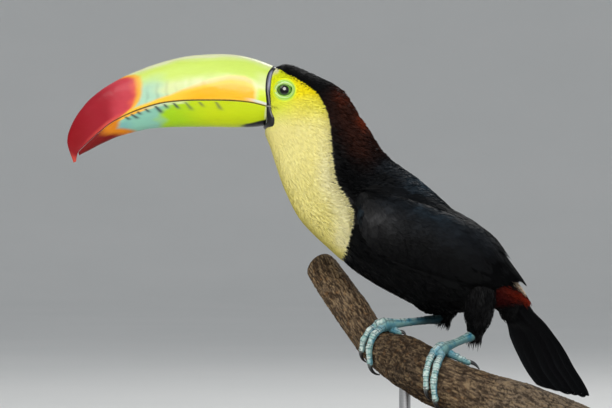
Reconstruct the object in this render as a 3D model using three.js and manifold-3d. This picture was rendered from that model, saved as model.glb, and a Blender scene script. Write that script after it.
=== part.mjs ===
// A keel-billed toucan, life size, perched on a short cut branch that a display stand holds.
// Millimetres, +Z up. The origin is the centre of the stand's underside. The bird faces -X, and its
// left side faces -Y. Every piece is its own closed solid, a hair's breadth clear of its neighbours.
import * as THREE from "three";
import { mergeVertices } from "three/addons/utils/BufferGeometryUtils.js";
import Module from "manifold-3d";

const wasm = await Module();
wasm.setup();

const gap = 0.3; // left between pieces that meet
const mergeWithin = 1e-3; // points closer than this are one
const eye = { radius: 6.4, x: -97.6, y: 12.9, z: 300.5, around: 12, high: 8 };
const base = { radius: 100, thick: 16, foot: 96, edge: 3, sides: 36 };
const rod = { radius: 4, intoBranch: 9, sides: 14, shares: [0.43, 0.71] };
const collar = { radius: 9, height: 5, edge: 1 };

const materials = {
  blackPlumage: { color: 0x0b0c10, roughness: 0.6 },
  yellowPlumage: { color: 0xe6dc6a, roughness: 0.8 },
  upperHorn: { color: 0x9fd02a, roughness: 0.3 },
  lowerHorn: { color: 0xb9dc20, roughness: 0.3 },
  eye: { color: 0x101a08, roughness: 0.05 },
  footSkin: { color: 0x7cc8c6, roughness: 0.5 },
  claw: { color: 0x3a3a38, roughness: 0.35 },
  bark: { color: 0x6b5640, roughness: 0.9 },
  baseWood: { color: 0x3a2416, roughness: 0.4 },
  steel: { color: 0x9a9ca0, roughness: 0.35, metalness: 1 },
};

const bird = new THREE.Group();

function addPiece(name, geometry, material) {
  const piece = new THREE.Mesh(geometry, new THREE.MeshStandardMaterial(materials[material]));
  piece.name = name;
  bird.add(piece);
}

// Volume inside a geometry's triangles, negative when they face inwards.
function signedVolume(geometry) {
  const at = geometry.getAttribute("position");
  const index = geometry.index.array;
  const [a, b, c] = [new THREE.Vector3(), new THREE.Vector3(), new THREE.Vector3()];
  let sum = 0;
  for (let i = 0; i < index.length; i += 3) {
    a.fromBufferAttribute(at, index[i]);
    b.fromBufferAttribute(at, index[i + 1]);
    c.fromBufferAttribute(at, index[i + 2]);
    sum += a.dot(b.cross(c)) / 6;
  }
  return sum;
}

// Joins rings of points, all in the same order, into one closed solid with flat ends.
function loft(rings) {
  const around = rings[0].length;
  const points = rings.flat();
  const index = [];
  for (let i = 0; i < rings.length - 1; i++) {
    for (let j = 0; j < around; j++) {
      const a = i * around + j;
      const b = i * around + ((j + 1) % around);
      index.push(a, b, a + around, b, b + around, a + around);
    }
  }
  [0, rings.length - 1].forEach((ring) => {
    const middle = rings[ring].reduce((sum, p) => sum.add(p), new THREE.Vector3());
    points.push(middle.divideScalar(around));
    for (let j = 0; j < around; j++) {
      const a = ring * around + j;
      const b = ring * around + ((j + 1) % around);
      index.push(...(ring === 0 ? [points.length - 1, b, a] : [points.length - 1, a, b]));
    }
  });
  const geometry = new THREE.BufferGeometry().setFromPoints(points);
  geometry.setIndex(index);
  if (signedVolume(geometry) < 0) geometry.setIndex(index.reverse());
  return geometry;
}

// One piece cut by another: what is left of body once tool is taken out.
function cut(body, tool) {
  const solid = (geometry) => {
    const bare = new THREE.BufferGeometry().setAttribute("position", geometry.getAttribute("position"));
    bare.setIndex(geometry.index);
    const merged = mergeVertices(bare, mergeWithin);
    const vertProperties = merged.getAttribute("position").array;
    const triVerts = new Uint32Array(merged.index.array);
    return new wasm.Manifold(new wasm.Mesh({ numProp: 3, vertProperties, triVerts }));
  };
  const made = solid(body).subtract(solid(tool)).getMesh();
  const geometry = new THREE.BufferGeometry();
  geometry.setAttribute("position", new THREE.BufferAttribute(made.vertProperties, 3));
  geometry.setIndex(new THREE.BufferAttribute(made.triVerts, 1));
  return geometry;
}

// Smooth values between stations: row is the station number, with any fraction.
function between(stations, row) {
  const last = stations.length - 1;
  const curve = (column) => {
    const points = stations.map((station) => new THREE.Vector3(station[column], 0, 0));
    return new THREE.CatmullRomCurve3(points, false, "catmullrom", 0.5);
  };
  const share = THREE.MathUtils.clamp(row / last, 0, 1);
  return stations[0].map((_, column) => curve(column).getPoint(share).x);
}

// ---- Head, neck and trunk: sections that fan round from the bill to the tail ----
// Each row holds the back's x and z, the underside's x and z, and half the width.
const bodyStations = [
  [-105.0, 317.1, -110.5, 275.1, 14.5], // where the bill meets the face
  [-94.5, 319.0, -111.3, 270.0, 18.0], // eyes
  [-77.0, 312.0, -107.8, 261.1, 21.0],
  [-58.0, 301.2, -102.2, 243.6, 22.5], // nape
  [-45.2, 281.6, -96.6, 228.9, 25.0],
  [-28.0, 256.9, -86.1, 209.3, 31.0], // foot of the neck
  [-3.5, 238.7, -66.5, 189.7, 36.0],
  [20.0, 217.8, -45.5, 172.2, 37.0], // widest, under the wings
  [42.7, 195.0, -21.5, 158.0, 34.0],
  [56.5, 177.5, 3.6, 146.6, 27.0], // between the thighs
  [67.2, 164.2, 30.6, 145.4, 18.5],
  [74.0, 153.6, 48.5, 148.0, 13.5], // tail coverts
  [78.6, 143.8, 54.6, 140.6, 11.0],
];
const bodyEnd = bodyStations.length - 1;
const roundness = 0.9; // under 1 makes a section a little squarer than an ellipse
const lengths = {
  head: { to: 2.6, steps: 9, sides: 22 },
  neck: { to: 5, steps: 8, sides: 24 },
  trunk: { to: bodyEnd, steps: 18, sides: 26 },
};
const partingRows = 0.03; // of a station, which is the gap between two lengths of the body

// A point on the body: row along it, turn round it from the back (0) to the underside (pi), and
// how far out from the surface it stands. A negative turn is the left side.
function bodyPoint(row, turn, lift = 0) {
  const [backX, backZ, underX, underZ, half] = between(bodyStations, row);
  const tall = Math.hypot(backX - underX, backZ - underZ) / 2;
  const power = (value) => Math.sign(value) * Math.abs(value) ** roundness;
  const up = (power(Math.cos(turn)) * (tall + lift)) / tall;
  return new THREE.Vector3(
    (backX + underX) / 2 + (up * (backX - underX)) / 2,
    power(Math.sin(turn)) * (half + lift),
    (backZ + underZ) / 2 + (up * (backZ - underZ)) / 2,
  );
}

function bodyLength(from, { to, steps, sides }, lift = 0) {
  const rings = [];
  for (let i = 0; i <= steps; i++) {
    const row = THREE.MathUtils.lerp(from, to, i / steps);
    rings.push(Array.from({ length: sides }, (_, j) => bodyPoint(row, (j / sides) * 2 * Math.PI, lift)));
  }
  return loft(rings);
}

function eyeball(side, grow) {
  const geometry = new THREE.SphereGeometry(eye.radius + grow, eye.around, eye.high);
  geometry.deleteAttribute("normal");
  geometry.deleteAttribute("uv");
  return mergeVertices(geometry, mergeWithin).translate(eye.x, side * eye.y, eye.z);
}

let head = bodyLength(0, lengths.head);
Object.entries({ left: -1, right: 1 }).forEach(([name, side]) => {
  head = cut(head, eyeball(side, gap));
  addPiece(`eye_${name}`, eyeball(side, 0), "eye");
});
addPiece("head", head, "yellowPlumage");
addPiece("neck", bodyLength(lengths.head.to + partingRows, lengths.neck), "yellowPlumage");
addPiece("trunk", bodyLength(lengths.neck.to + partingRows, lengths.trunk), "blackPlumage");

// ---- Bill: an upper and a lower half that meet along the gape ----
// Each row holds the ridge's x and z, the gape's x and z, the lower edge's x and z, and half the width.
const billStations = [
  [-105.7, 318.0, -109.3, 289.0, -110.9, 276.0, 14.4], // against the face
  [-119.0, 322.8, -121.1, 291.9, -121.1, 275.0, 14.6],
  [-133.0, 325.6, -135.1, 293.2, -135.1, 274.9, 14.4],
  [-150.5, 326.0, -151.9, 293.5, -150.5, 275.2, 13.7],
  [-168.0, 324.3, -168.0, 293.2, -166.6, 275.1, 12.7],
  [-185.5, 319.9, -183.4, 291.5, -182.0, 274.6, 11.4],
  [-200.9, 314.3, -198.1, 287.4, -194.6, 273.4, 9.9],
  [-215.6, 307.3, -210.0, 282.5, -205.8, 270.7, 8.3],
  [-228.2, 299.3, -219.8, 277.2, -217.0, 267.2, 6.7],
  [-238.7, 289.1, -228.9, 269.9, -226.8, 262.7, 5.1],
  [-246.4, 277.2, -236.6, 262.9, -235.2, 258.4, 3.5],
  [-249.7, 264.6, -241.9, 257.3, -241.2, 255.1, 2.2], // the lower half's tip
  [-245.4, 250.2, -243.4, 251.0, -243.3, 250.9, 1.0], // the hook
];
const gape = { half: 0.25, most: 0.4 }; // half of the slit between the halves, and its largest share
const bill = { fullness: 0.82, arc: 12, lowerWidth: 0.95 };
const billHalves = {
  upper: { to: 12, steps: 24 },
  lower: { to: 11, steps: 18 }, // it stops short of the hook
};

function billRing(row, upper) {
  const [ridgeX, ridgeZ, gapeX, gapeZ, edgeX, edgeZ, half] = between(billStations, row);
  const outer = upper ? new THREE.Vector3(ridgeX, 0, ridgeZ) : new THREE.Vector3(edgeX, 0, edgeZ);
  const inner = new THREE.Vector3(gapeX, 0, gapeZ);
  const rise = outer.clone().sub(inner);
  inner.addScaledVector(rise, Math.min(gape.most, gape.half / rise.length()));
  rise.copy(outer).sub(inner);
  const width = upper ? half : half * bill.lowerWidth;
  return Array.from({ length: bill.arc + 1 }, (_, i) => {
    const turn = (i / bill.arc) * Math.PI;
    const across = Math.sign(Math.cos(turn)) * Math.abs(Math.cos(turn)) ** bill.fullness;
    const point = inner.clone().addScaledVector(rise, Math.sin(turn));
    return point.setY(across * width);
  });
}

function billHalf(upper, { to, steps }) {
  return loft(Array.from({ length: steps + 1 }, (_, i) => billRing((to * i) / steps, upper)));
}

addPiece("bill_upper", billHalf(true, billHalves.upper), "upperHorn");
addPiece("bill_lower", billHalf(false, billHalves.lower), "lowerHorn");

// ---- Wings: folded shells that hug the trunk ----
// Each row holds the turns between which the folded wing covers the body, from its wrist to its tip.
const wingStations = [
  [1.3, 1.62],
  [0.95, 1.98],
  [0.55, 1.94],
  [0.16, 1.74],
  [0.06, 1.52],
  [0.05, 1.3],
  [0.12, 0.85],
];
const wing = { from: 5.55, to: 10.35, steps: 15, across: 7, clear: gap + 0.25 };
// A wing is thickest along its middle and over the mantle, and thins towards its tip.
const fold = { thick: 5.4, edge: 0.7, root: 0.12, length: 0.8, mantle: 1.3, most: 1.3, thinning: 0.6 };

function wingShell(side) {
  const rings = [];
  for (let i = 0; i <= wing.steps; i++) {
    const share = i / wing.steps;
    const row = THREE.MathUtils.lerp(wing.from, wing.to, share);
    const [upper, lower] = between(wingStations, share * (wingStations.length - 1));
    const outside = [];
    const inside = [];
    for (let j = 0; j <= wing.across; j++) {
      const place = j / wing.across;
      const turn = side * THREE.MathUtils.lerp(upper, lower, place);
      const bow = Math.sin(Math.PI * (fold.root + fold.length * share));
      const swell = Math.sqrt(Math.sin(Math.PI * place) * bow);
      const mantle = fold.mantle * THREE.MathUtils.smoothstep(share, 0.25, 0.55) * (1 - place) ** 2;
      const full = Math.min(fold.most, swell + mantle) * (1 - fold.thinning * share ** 2);
      const thick = fold.edge + fold.thick * full;
      inside.push(bodyPoint(row, turn, wing.clear));
      outside.push(bodyPoint(row, turn, wing.clear + thick));
    }
    rings.push([...outside, ...inside.reverse()]);
  }
  return loft(rings);
}

const wings = { left: wingShell(-1), right: wingShell(1) };

// ---- Tail: a stack of feathers folded like a roof, the middle pair longest ----
// Each row holds the ridge's x and z, the skirt's x and z, half the width, and the thickness.
const tailStations = [
  [79.4, 143.3, 55.2, 139.8, 11, 16],
  [92.4, 129.2, 61.0, 126.2, 15, 9],
  [99.4, 118.8, 65.6, 116.2, 18, 6],
  [105.6, 107.0, 70.7, 106.2, 20, 4.5],
  [111.6, 97.2, 77.4, 97.2, 22, 3.5],
  [116.6, 87.2, 84.0, 91.6, 23, 2.6],
];
const tail = { side: 5, steps: 10, arch: 1.35, skirt: 0.94, thinning: 0.6, inset: 1 }; // side steps per half

function tailRing(row) {
  const [ridgeX, ridgeZ, skirtX, skirtZ, half, thick] = between(tailStations, row);
  const slope = new THREE.Vector3(skirtX - ridgeX, 0, skirtZ - ridgeZ);
  const outside = [];
  const inside = [];
  for (let i = -tail.side; i <= tail.side; i++) {
    const out = i / tail.side;
    const fall = Math.abs(out) ** tail.arch;
    const left = 1 - tail.thinning * Math.abs(out);
    const deep = Math.min(1, fall + (thick * left) / slope.length());
    const over = new THREE.Vector3(ridgeX, out * half, ridgeZ);
    const under = new THREE.Vector3(ridgeX, out * (half - tail.inset), ridgeZ);
    outside.push(over.addScaledVector(slope, fall * tail.skirt));
    inside.push(under.addScaledVector(slope, deep));
  }
  return [...outside, ...inside.reverse()];
}

const tailRows = tailStations.length - 1;
const tailRings = Array.from({ length: tail.steps + 1 }, (_, i) => tailRing((tailRows * i) / tail.steps));
addPiece("tail", loft(tailRings), "blackPlumage");

// ---- Branch: a cut length, bent, thicker towards its near end ----
const branchLine = new THREE.CatmullRomCurve3([
  new THREE.Vector3(-72, 58, 177),
  new THREE.Vector3(-54, 33, 151),
  new THREE.Vector3(-32.7, 6, 121.9), // under the right foot
  new THREE.Vector3(-14, -15, 112.3),
  new THREE.Vector3(4.8, -34, 100.6), // under the left foot
  new THREE.Vector3(43.5, -54, 86.5),
  new THREE.Vector3(76.5, -67, 76.5),
  new THREE.Vector3(107, -76, 64),
]);
const branchRadii = [[11.5], [12], [12.8], [17], [18], [18], [18], [18.5]];
const branch = { sides: 16, steps: 19 };

// A point on the bark: a share of the branch's length, the turn from its top towards the bird's
// front (positive) or back, and how far out from the bark it stands.
function barkPoint(share, turn, lift = 0) {
  const along = branchLine.getTangent(share);
  const top = new THREE.Vector3(0, 0, 1).projectOnPlane(along).normalize();
  const front = along.clone().cross(top);
  const swell = 1 + 0.035 * Math.sin(3 * turn + 17 * share) + 0.025 * Math.sin(2 * turn - 23 * share);
  const out = between(branchRadii, share * (branchRadii.length - 1))[0] * swell + lift;
  const point = branchLine.getPoint(share);
  return point.addScaledVector(top, out * Math.cos(turn)).addScaledVector(front, out * Math.sin(turn));
}

function branchSolid(lift) {
  const rings = [];
  const turns = Array.from({ length: branch.sides }, (_, j) => (j / branch.sides) * 2 * Math.PI);
  for (let i = 0; i <= branch.steps; i++) {
    rings.push(turns.map((turn) => barkPoint(i / branch.steps, turn, lift)));
  }
  return loft(rings);
}

// ---- Legs: feathered thigh, scaled shank, two toes forward and two back round the branch ----
// A round limb along points, each with its radius: rings square to the limb's direction.
function limb(points, radii, { steps, sides }, grow = 0) {
  const line = new THREE.CatmullRomCurve3(points);
  const rings = [];
  for (let i = 0; i <= steps; i++) {
    const share = i / steps;
    const along = line.getTangent(share);
    const across = new THREE.Vector3(0, 1, 0).projectOnPlane(along).normalize();
    const other = along.clone().cross(across);
    const radius = between(radii.map((value) => [value]), share * (radii.length - 1))[0] + grow;
    const middle = line.getPoint(share);
    const ring = Array.from({ length: sides }, (_, j) => {
      const turn = (j / sides) * 2 * Math.PI;
      const point = middle.clone().addScaledVector(across, radius * Math.cos(turn));
      return point.addScaledVector(other, radius * Math.sin(turn));
    });
    rings.push(ring);
  }
  return loft(rings);
}

const legs = {
  left: {
    thigh: [[36, -11, 172], [37.5, -15, 155], [37.2, -12, 141], [35.6, -8.2, 130.6]],
    heel: [34, -7.5, 129.6],
    share: 4 / 7,
    toesAlong: { 1: [-3.1, -5], 2: [-2.4, 7.2], 3: [3.4, 13], 4: [3.6, 16] },
  },
  right: {
    thigh: [[14, 13, 182], [18, 18, 166], [18.6, 17.5, 152], [15.4, 16, 141.6]],
    heel: [13.6, 15.6, 140.6],
    share: 2 / 7,
    toesAlong: { 1: [-3.4, -7], 2: [-4.0, 2.4], 3: [4.4, 15.5], 4: [4.6, 15] },
  },
};
const thigh = { radii: [15, 12.5, 9.2, 4.9], steps: 8, sides: 12 };
const shank = { radii: [4.1, 3.2, 2.8, 2.9, 3.6, 5.2, 4.4], steps: 12, sides: 9 };
const pad = { lift: 4.8, reach: 4.5 }; // the foot's middle above the bark, and the pad in front of it

// Toes: the turn round the branch that each wraps to, and its radius at its root. A leg's toesAlong
// holds how far along the branch from the foot's middle each starts and ends.
const toes = [
  { name: "1", wrap: -1.35, radius: 2.5 },
  { name: "2", wrap: 1.7, radius: 2.7 },
  { name: "3", wrap: 2.0, radius: 2.8 },
  { name: "4", wrap: -0.45, radius: 2.7 },
];
const toe = { root: 0.27, steps: 9, sides: 7, taper: 0.26, knuckles: 3, knuckle: 0.09, bend: 0.8 };
const claw = { reach: 9.5, arch: 1.3, tip: 0.4, apart: 0.9, wide: 0.62, taper: 1.4, steps: 5, sides: 6 };

// A toe's middle line, hugging the bark from the foot's pad (0) to its claw's root (1) and past it.
// toe.root is the turn at which it leaves the pad.
function toePoint(leg, { name, wrap }, place, lift) {
  const [start, end] = leg.toesAlong[name];
  const along = THREE.MathUtils.lerp(start, end, place ** toe.bend);
  const turn = THREE.MathUtils.lerp(Math.sign(wrap) * toe.root, wrap, place);
  return barkPoint(leg.share + along / branchLine.getLength(), turn, lift);
}

function toeSolid(leg, one) {
  const points = [];
  const radii = [];
  for (let i = 0; i <= toe.steps; i++) {
    const place = i / toe.steps;
    const knuckle = 1 + toe.knuckle * Math.cos(place * toe.knuckles * 2 * Math.PI);
    radii.push(one.radius * (1 - toe.taper * place) * knuckle);
    points.push(toePoint(leg, one, place, radii[i] + gap));
  }
  return limb(points, radii, toe);
}

// The distance from a toe's root to its tip, round the bark and along it.
function toeLength(leg, { name, wrap }) {
  const [start, end] = leg.toesAlong[name];
  const barkRadius = barkPoint(leg.share, wrap).distanceTo(branchLine.getPoint(leg.share));
  return Math.hypot(barkRadius * (Math.abs(wrap) - toe.root), end - start);
}

function clawSolid(leg, one) {
  const radius = one.radius * claw.wide;
  const points = [];
  const radii = [];
  [0, 0.33, 0.67, 1].forEach((step) => {
    const place = 1 + (claw.apart + claw.reach * step) / toeLength(leg, one);
    const lift = radius * (1.2 - step) + claw.arch * Math.sin(Math.PI * step) + gap + claw.tip;
    points.push(toePoint(leg, one, place, lift));
    radii.push(THREE.MathUtils.lerp(radius, claw.tip, step ** claw.taper));
  });
  return limb(points, radii, claw);
}

const vector = (values) => new THREE.Vector3(...values);
const fatTrunk = bodyLength(lengths.neck.to, lengths.trunk, gap);
const fatBranch = branchSolid(gap);

Object.entries(legs).forEach(([side, leg]) => {
  const heel = vector(leg.heel);
  const foot = barkPoint(leg.share, 0, pad.lift);
  const forward = foot.clone().sub(heel).normalize();
  const shankLine = [0, 0.25, 0.5, 0.75, 1].map((step) => heel.clone().lerp(foot, step));
  shankLine.push(foot.clone().addScaledVector(forward, pad.reach));
  const shankSolid = (grow) => limb(shankLine, shank.radii, shank, grow);
  const thighSolid = (grow) => limb(leg.thigh.map(vector), thigh.radii, thigh, grow);
  addPiece(`thigh_${side}`, cut(cut(thighSolid(0), fatTrunk), shankSolid(gap)), "blackPlumage");
  wings[side] = cut(wings[side], thighSolid(gap));
  addPiece(`shank_${side}`, cut(shankSolid(0), fatBranch), "footSkin");
  toes.forEach((one) => {
    const bareToe = cut(cut(toeSolid(leg, one), fatBranch), shankSolid(gap));
    addPiece(`toe_${side}_${one.name}`, bareToe, "footSkin");
    addPiece(`claw_${side}_${one.name}`, cut(clawSolid(leg, one), fatBranch), "claw");
  });
});
addPiece("wing_left", wings.left, "blackPlumage");
addPiece("wing_right", wings.right, "blackPlumage");

// ---- Display stand: a turned wooden base and two steel rods let into the branch ----
const baseProfile = [
  [0, 0],
  [base.foot, 0],
  [base.radius, base.edge],
  [base.radius, base.thick - base.edge],
  [base.radius - base.edge, base.thick],
  [0, base.thick],
];

function turned(profile, sides) {
  const geometry = new THREE.LatheGeometry(profile.map(([r, z]) => new THREE.Vector2(r, z)), sides);
  geometry.deleteAttribute("normal");
  geometry.deleteAttribute("uv");
  geometry.rotateX(Math.PI / 2);
  return mergeVertices(geometry, mergeWithin);
}

addPiece("stand_base", turned(baseProfile, base.sides), "baseWood");

let perch = branchSolid(0);
rod.shares.forEach((share, i) => {
  const middle = branchLine.getPoint(share);
  const foot = base.thick + gap;
  const top = barkPoint(share, Math.PI).z + rod.intoBranch;
  const rodProfile = [
    [0, foot],
    [collar.radius, foot],
    [collar.radius, foot + collar.height - collar.edge],
    [collar.radius - collar.edge, foot + collar.height],
    [rod.radius, foot + collar.height],
    [rod.radius, top],
    [0, top],
  ];
  const holeProfile = [
    [0, foot],
    [rod.radius + gap, foot],
    [rod.radius + gap, top + gap],
    [0, top + gap],
  ];
  const stand = turned(rodProfile, rod.sides).translate(middle.x, middle.y, 0);
  const hole = turned(holeProfile, rod.sides).translate(middle.x, middle.y, 0);
  perch = cut(perch, hole);
  addPiece(`stand_rod_${i + 1}`, stand, "steel");
});
addPiece("perch_branch", perch, "bark");

export default bird;
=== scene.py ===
import functools
import math

import bmesh
import bpy
import numpy as np
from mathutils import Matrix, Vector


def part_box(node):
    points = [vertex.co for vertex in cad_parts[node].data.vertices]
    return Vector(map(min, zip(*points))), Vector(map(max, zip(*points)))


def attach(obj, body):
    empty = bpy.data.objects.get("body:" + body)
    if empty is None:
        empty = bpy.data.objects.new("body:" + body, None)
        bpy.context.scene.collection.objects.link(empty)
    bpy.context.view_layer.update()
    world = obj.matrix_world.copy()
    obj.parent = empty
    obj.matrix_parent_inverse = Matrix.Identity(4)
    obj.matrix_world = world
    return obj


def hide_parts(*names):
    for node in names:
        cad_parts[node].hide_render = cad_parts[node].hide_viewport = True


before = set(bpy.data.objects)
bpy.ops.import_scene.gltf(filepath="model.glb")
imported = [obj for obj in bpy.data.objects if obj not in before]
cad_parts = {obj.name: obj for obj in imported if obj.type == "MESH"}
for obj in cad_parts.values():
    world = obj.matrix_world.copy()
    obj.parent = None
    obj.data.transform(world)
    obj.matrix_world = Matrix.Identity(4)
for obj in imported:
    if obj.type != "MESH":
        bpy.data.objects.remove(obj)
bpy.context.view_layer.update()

scene = bpy.context.scene
mm = 0.001  # the tables are in millimetres, the meshes in metres
fullTurn = 2 * math.pi
dice = np.random.default_rng(11)


# numbers and colours

def tone(code):  # a hex colour as linear values
    shares = np.array([int(code[i:i + 2], 16) for i in (0, 2, 4)]) / 255
    return np.where(shares < 0.04045, shares / 12.92, ((shares + 0.055) / 1.055) ** 2.4)


def ease(low, high, value):  # 0 before low, 1 after high, smooth between
    share = np.clip((np.asarray(value, float) - low) / (high - low), 0, 1)
    return share * share * (3 - 2 * share)


def within(value, start, full, fading, end):  # rises from start to full, falls from fading to end
    return ease(start, full, value) * ease(end, fading, value)


def bell(value, middle, width):  # 1 at the middle, fading out on both sides
    return np.exp(-((value - middle) / width) ** 2)


def clamped(value):
    return np.clip(value, 0, 1)


def mixed(first, second, share):
    share = np.asarray(share, float)[..., None]
    return first * (1 - share) + second * share


def painted(colour, palette, layers):  # colour under layers of (a palette's colour name, how much of it)
    for name, share in layers:
        colour = mixed(colour, palette[name], share)
    return colour


def along(table, place):  # straight steps through a table of (place, value)
    places, values = zip(*table)
    return np.interp(place, places, values)


def fourAround(table, low):  # a table's rows low - 1 to low + 2, going straight on past its ends
    padded = np.vstack([2 * table[0] - table[1], table, 2 * table[-1] - table[-2]])
    return (padded[low + i] for i in range(4))


def cubic(f, start, leaving, end, arriving):  # from start to end with these slopes, f from 0 to 1
    value = (2 * f**3 - 3 * f**2 + 1) * start + (f**3 - 2 * f**2 + f) * leaving
    return value + (3 * f**2 - 2 * f**3) * end + (f**3 - f**2) * arriving


def between(table, row):  # smooth values between the rows of a table, straight on past its ends
    table, row = np.asarray(table, float), np.asarray(row, float)
    last = len(table) - 1
    inside = np.clip(row, 0, last)
    low = np.minimum(inside.astype(int), last - 1)
    before, start, end, after = fourAround(table, low)
    leaving, arriving = (end - before) / 2, (after - start) / 2
    slope = np.where((row > last)[..., None], arriving, leaving)
    value = cubic((inside - low)[..., None], start, leaving, end, arriving)
    return value + (row - inside)[..., None] * slope


def columns(table, row):  # each column of a table, between its rows
    return np.moveaxis(between(table, row), -1, 0)


cloudHash = {"cell": (73856093, 19349663, 83492791), "seed": 7919, "stir": 1274126177, "mask": 0x7FFFFFFF}


def cloud(points, size, seed=0):  # soft noise from -1 to 1, with lumps of about that size
    spot = np.asarray(points, float) / size + 1000
    cell = np.floor(spot).astype(np.int64)
    part = spot - cell
    part = part * part * (3 - 2 * part)
    total = 0
    for corner in range(8):
        step = np.array([corner & 1, corner >> 1 & 1, corner >> 2 & 1])
        near = (cell + step) * np.array(cloudHash["cell"])
        code = (near[..., 0] ^ near[..., 1] ^ near[..., 2]) + seed * cloudHash["seed"]
        code = (code ^ code >> 13) * cloudHash["stir"] & cloudHash["mask"]
        value = ((code ^ code >> 16) & 4095) / 2047.5 - 1
        total = total + value * np.prod(np.where(step, part, 1 - part), -1)
    return total


def unit(vectors):
    return vectors / np.maximum(np.linalg.norm(vectors, axis=-1, keepdims=True), 1e-9)


def walked(line):  # the way along a line of points, at each of them
    return np.concatenate([[0], np.cumsum(np.linalg.norm(np.diff(line, axis=0), axis=1))])


def circle(count):  # turns round a ring
    return np.linspace(0, fullTurn, count, endpoint=False)


def grid(first, second):  # every pair of the two, as two tables
    return np.meshgrid(first, second, indexing="ij")


# meshes

def turnOutwards(mesh):
    shape = bmesh.new()
    shape.from_mesh(mesh)
    bmesh.ops.recalc_face_normals(shape, faces=shape.faces)
    shape.to_mesh(mesh)
    shape.free()


def fillMesh(mesh, points, faces):  # faces are one table of equal faces, or a list of any
    if not isinstance(faces, np.ndarray):
        mesh.from_pydata(points.tolist(), [], faces)
        return
    corners = faces.shape[-1]
    mesh.vertices.add(len(points))
    mesh.vertices.foreach_set("co", points.ravel())
    mesh.loops.add(faces.size)
    mesh.loops.foreach_set("vertex_index", faces.ravel().astype(np.int32))
    mesh.polygons.add(faces.size // corners)
    mesh.polygons.foreach_set("loop_start", np.arange(0, faces.size, corners, dtype=np.int32))
    mesh.update(calc_edges=True)


def build(name, points, faces, material, maps=(), tints=None, finish=None, closed=True):
    mesh = bpy.data.meshes.new(name)
    fillMesh(mesh, np.asarray(points, float).reshape(-1, 3) * mm, faces)
    order = np.empty(len(mesh.loops), np.int32)
    mesh.loops.foreach_get("vertex_index", order)
    for label, places in maps:
        layer = mesh.uv_layers.new(name=label)
        layer.data.foreach_set("uv", np.asarray(places, float).reshape(-1, 2)[order].ravel())
    if tints is not None:
        layer = mesh.color_attributes.new("Tint", "FLOAT_COLOR", "POINT")
        tints = np.asarray(tints, float).reshape(-1, 3)
        layer.data.foreach_set("color", np.hstack([tints, np.ones((len(tints), 1))]).ravel())
    if closed:
        turnOutwards(mesh)
    mesh.polygons.foreach_set("use_smooth", np.ones(len(mesh.polygons), bool))
    mesh.materials.append(material)
    piece = bpy.data.objects.new(name, mesh)
    scene.collection.objects.link(piece)
    if finish:
        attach(piece, "root")
    return piece


def gridFaces(rows, sides, wrap=True, first=0):  # quads between rows of points
    i, j = grid(np.arange(rows - 1), np.arange(sides if wrap else sides - 1))
    here, below = i * sides, (i + 1) * sides
    right = (j + 1) % sides
    return np.stack([here + j, below + j, below + right, here + right], -1).reshape(-1, 4) + first


def capped(rings, first=0):  # the faces of a closed loft through rings
    rows, sides = rings.shape[:2]
    faces = gridFaces(rows, sides, first=first).tolist()
    faces.append([first + j for j in range(sides)])
    faces.append([first + (rows - 1) * sides + j for j in reversed(range(sides))])
    return faces


# shader nodes

def feed(tree, node, feeds):  # each feed is a socket to link or a plain value
    for socket, value in feeds.items():
        if isinstance(value, bpy.types.NodeSocket):
            tree.links.new(value, node.inputs[socket])
        else:
            node.inputs[socket].default_value = value
    return node


def addNode(tree, kind, feeds=None, **options):  # adds a node, its options set before its sockets
    node = tree.nodes.new("ShaderNode" + kind)
    for option, value in options.items():
        setattr(node, option, value)
    return feed(tree, node, feeds or {})


def sums(tree, operation, first, second=0.0, third=0.0):
    feeds = {0: first, 1: second, 2: third}
    return addNode(tree, "Math", feeds, operation=operation).outputs[0]


def vectorSums(tree, operation, first, second):
    return addNode(tree, "VectorMath", {0: first, 1: second}, operation=operation).outputs[0]


def scaled(tree, vector, factor):
    return addNode(tree, "VectorMath", {0: vector, "Scale": factor}, operation="SCALE").outputs[0]


def ownSpace(tree):  # places in the piece's own space, in metres
    return addNode(tree, "TexCoord").outputs["Object"]


def noiseAt(tree, spot, scale, detail, roughness=0.5):
    feeds = {"Vector": spot, "Scale": scale, "Detail": detail, "Roughness": roughness}
    return addNode(tree, "TexNoise", feeds).outputs[0]


def ranged(tree, value, start, end, low=0.0, high=1.0, steps="LINEAR"):  # low at start to high at end
    feeds = {0: value, 1: start, 2: end, 3: low, 4: high}
    return addNode(tree, "MapRange", feeds, interpolation_type=steps).outputs[0]


def blendColour(tree, share, first, second):
    return addNode(tree, "Mix", {0: share, 6: first, 7: second}, data_type="RGBA").outputs[2]


def newGroup(name, inputs, outputs):  # a shader group with its named sockets
    group = bpy.data.node_groups.new(name, "ShaderNodeTree")
    for label, kind, value in inputs:
        socket = group.interface.new_socket(name=label, in_out="INPUT", socket_type="NodeSocket" + kind)
        socket.default_value = value
    for label in outputs:
        group.interface.new_socket(name=label, in_out="OUTPUT", socket_type="NodeSocketFloat")
    return group, group.nodes.new("NodeGroupInput").outputs, group.nodes.new("NodeGroupOutput")


def useGroup(tree, group, **feeds):
    return addNode(tree, "Group", feeds, node_tree=group).outputs


def wire(tree, shader, **feeds):  # Base_Color feeds the socket Base Color, and so on
    feed(tree, shader, {socket.replace("_", " "): value for socket, value in feeds.items()})


def newMaterial(name, **values):  # a Principled material with these plain socket values
    material = bpy.data.materials.new(name)
    material.use_nodes = True
    tree = material.node_tree
    shader = tree.nodes["Principled BSDF"]
    wire(tree, shader, **values)
    return material, tree, shader


def opaque(colour):  # a colour with its fourth value, as a socket takes it
    return (*colour, 1)


# camera, floor and lights

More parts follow.
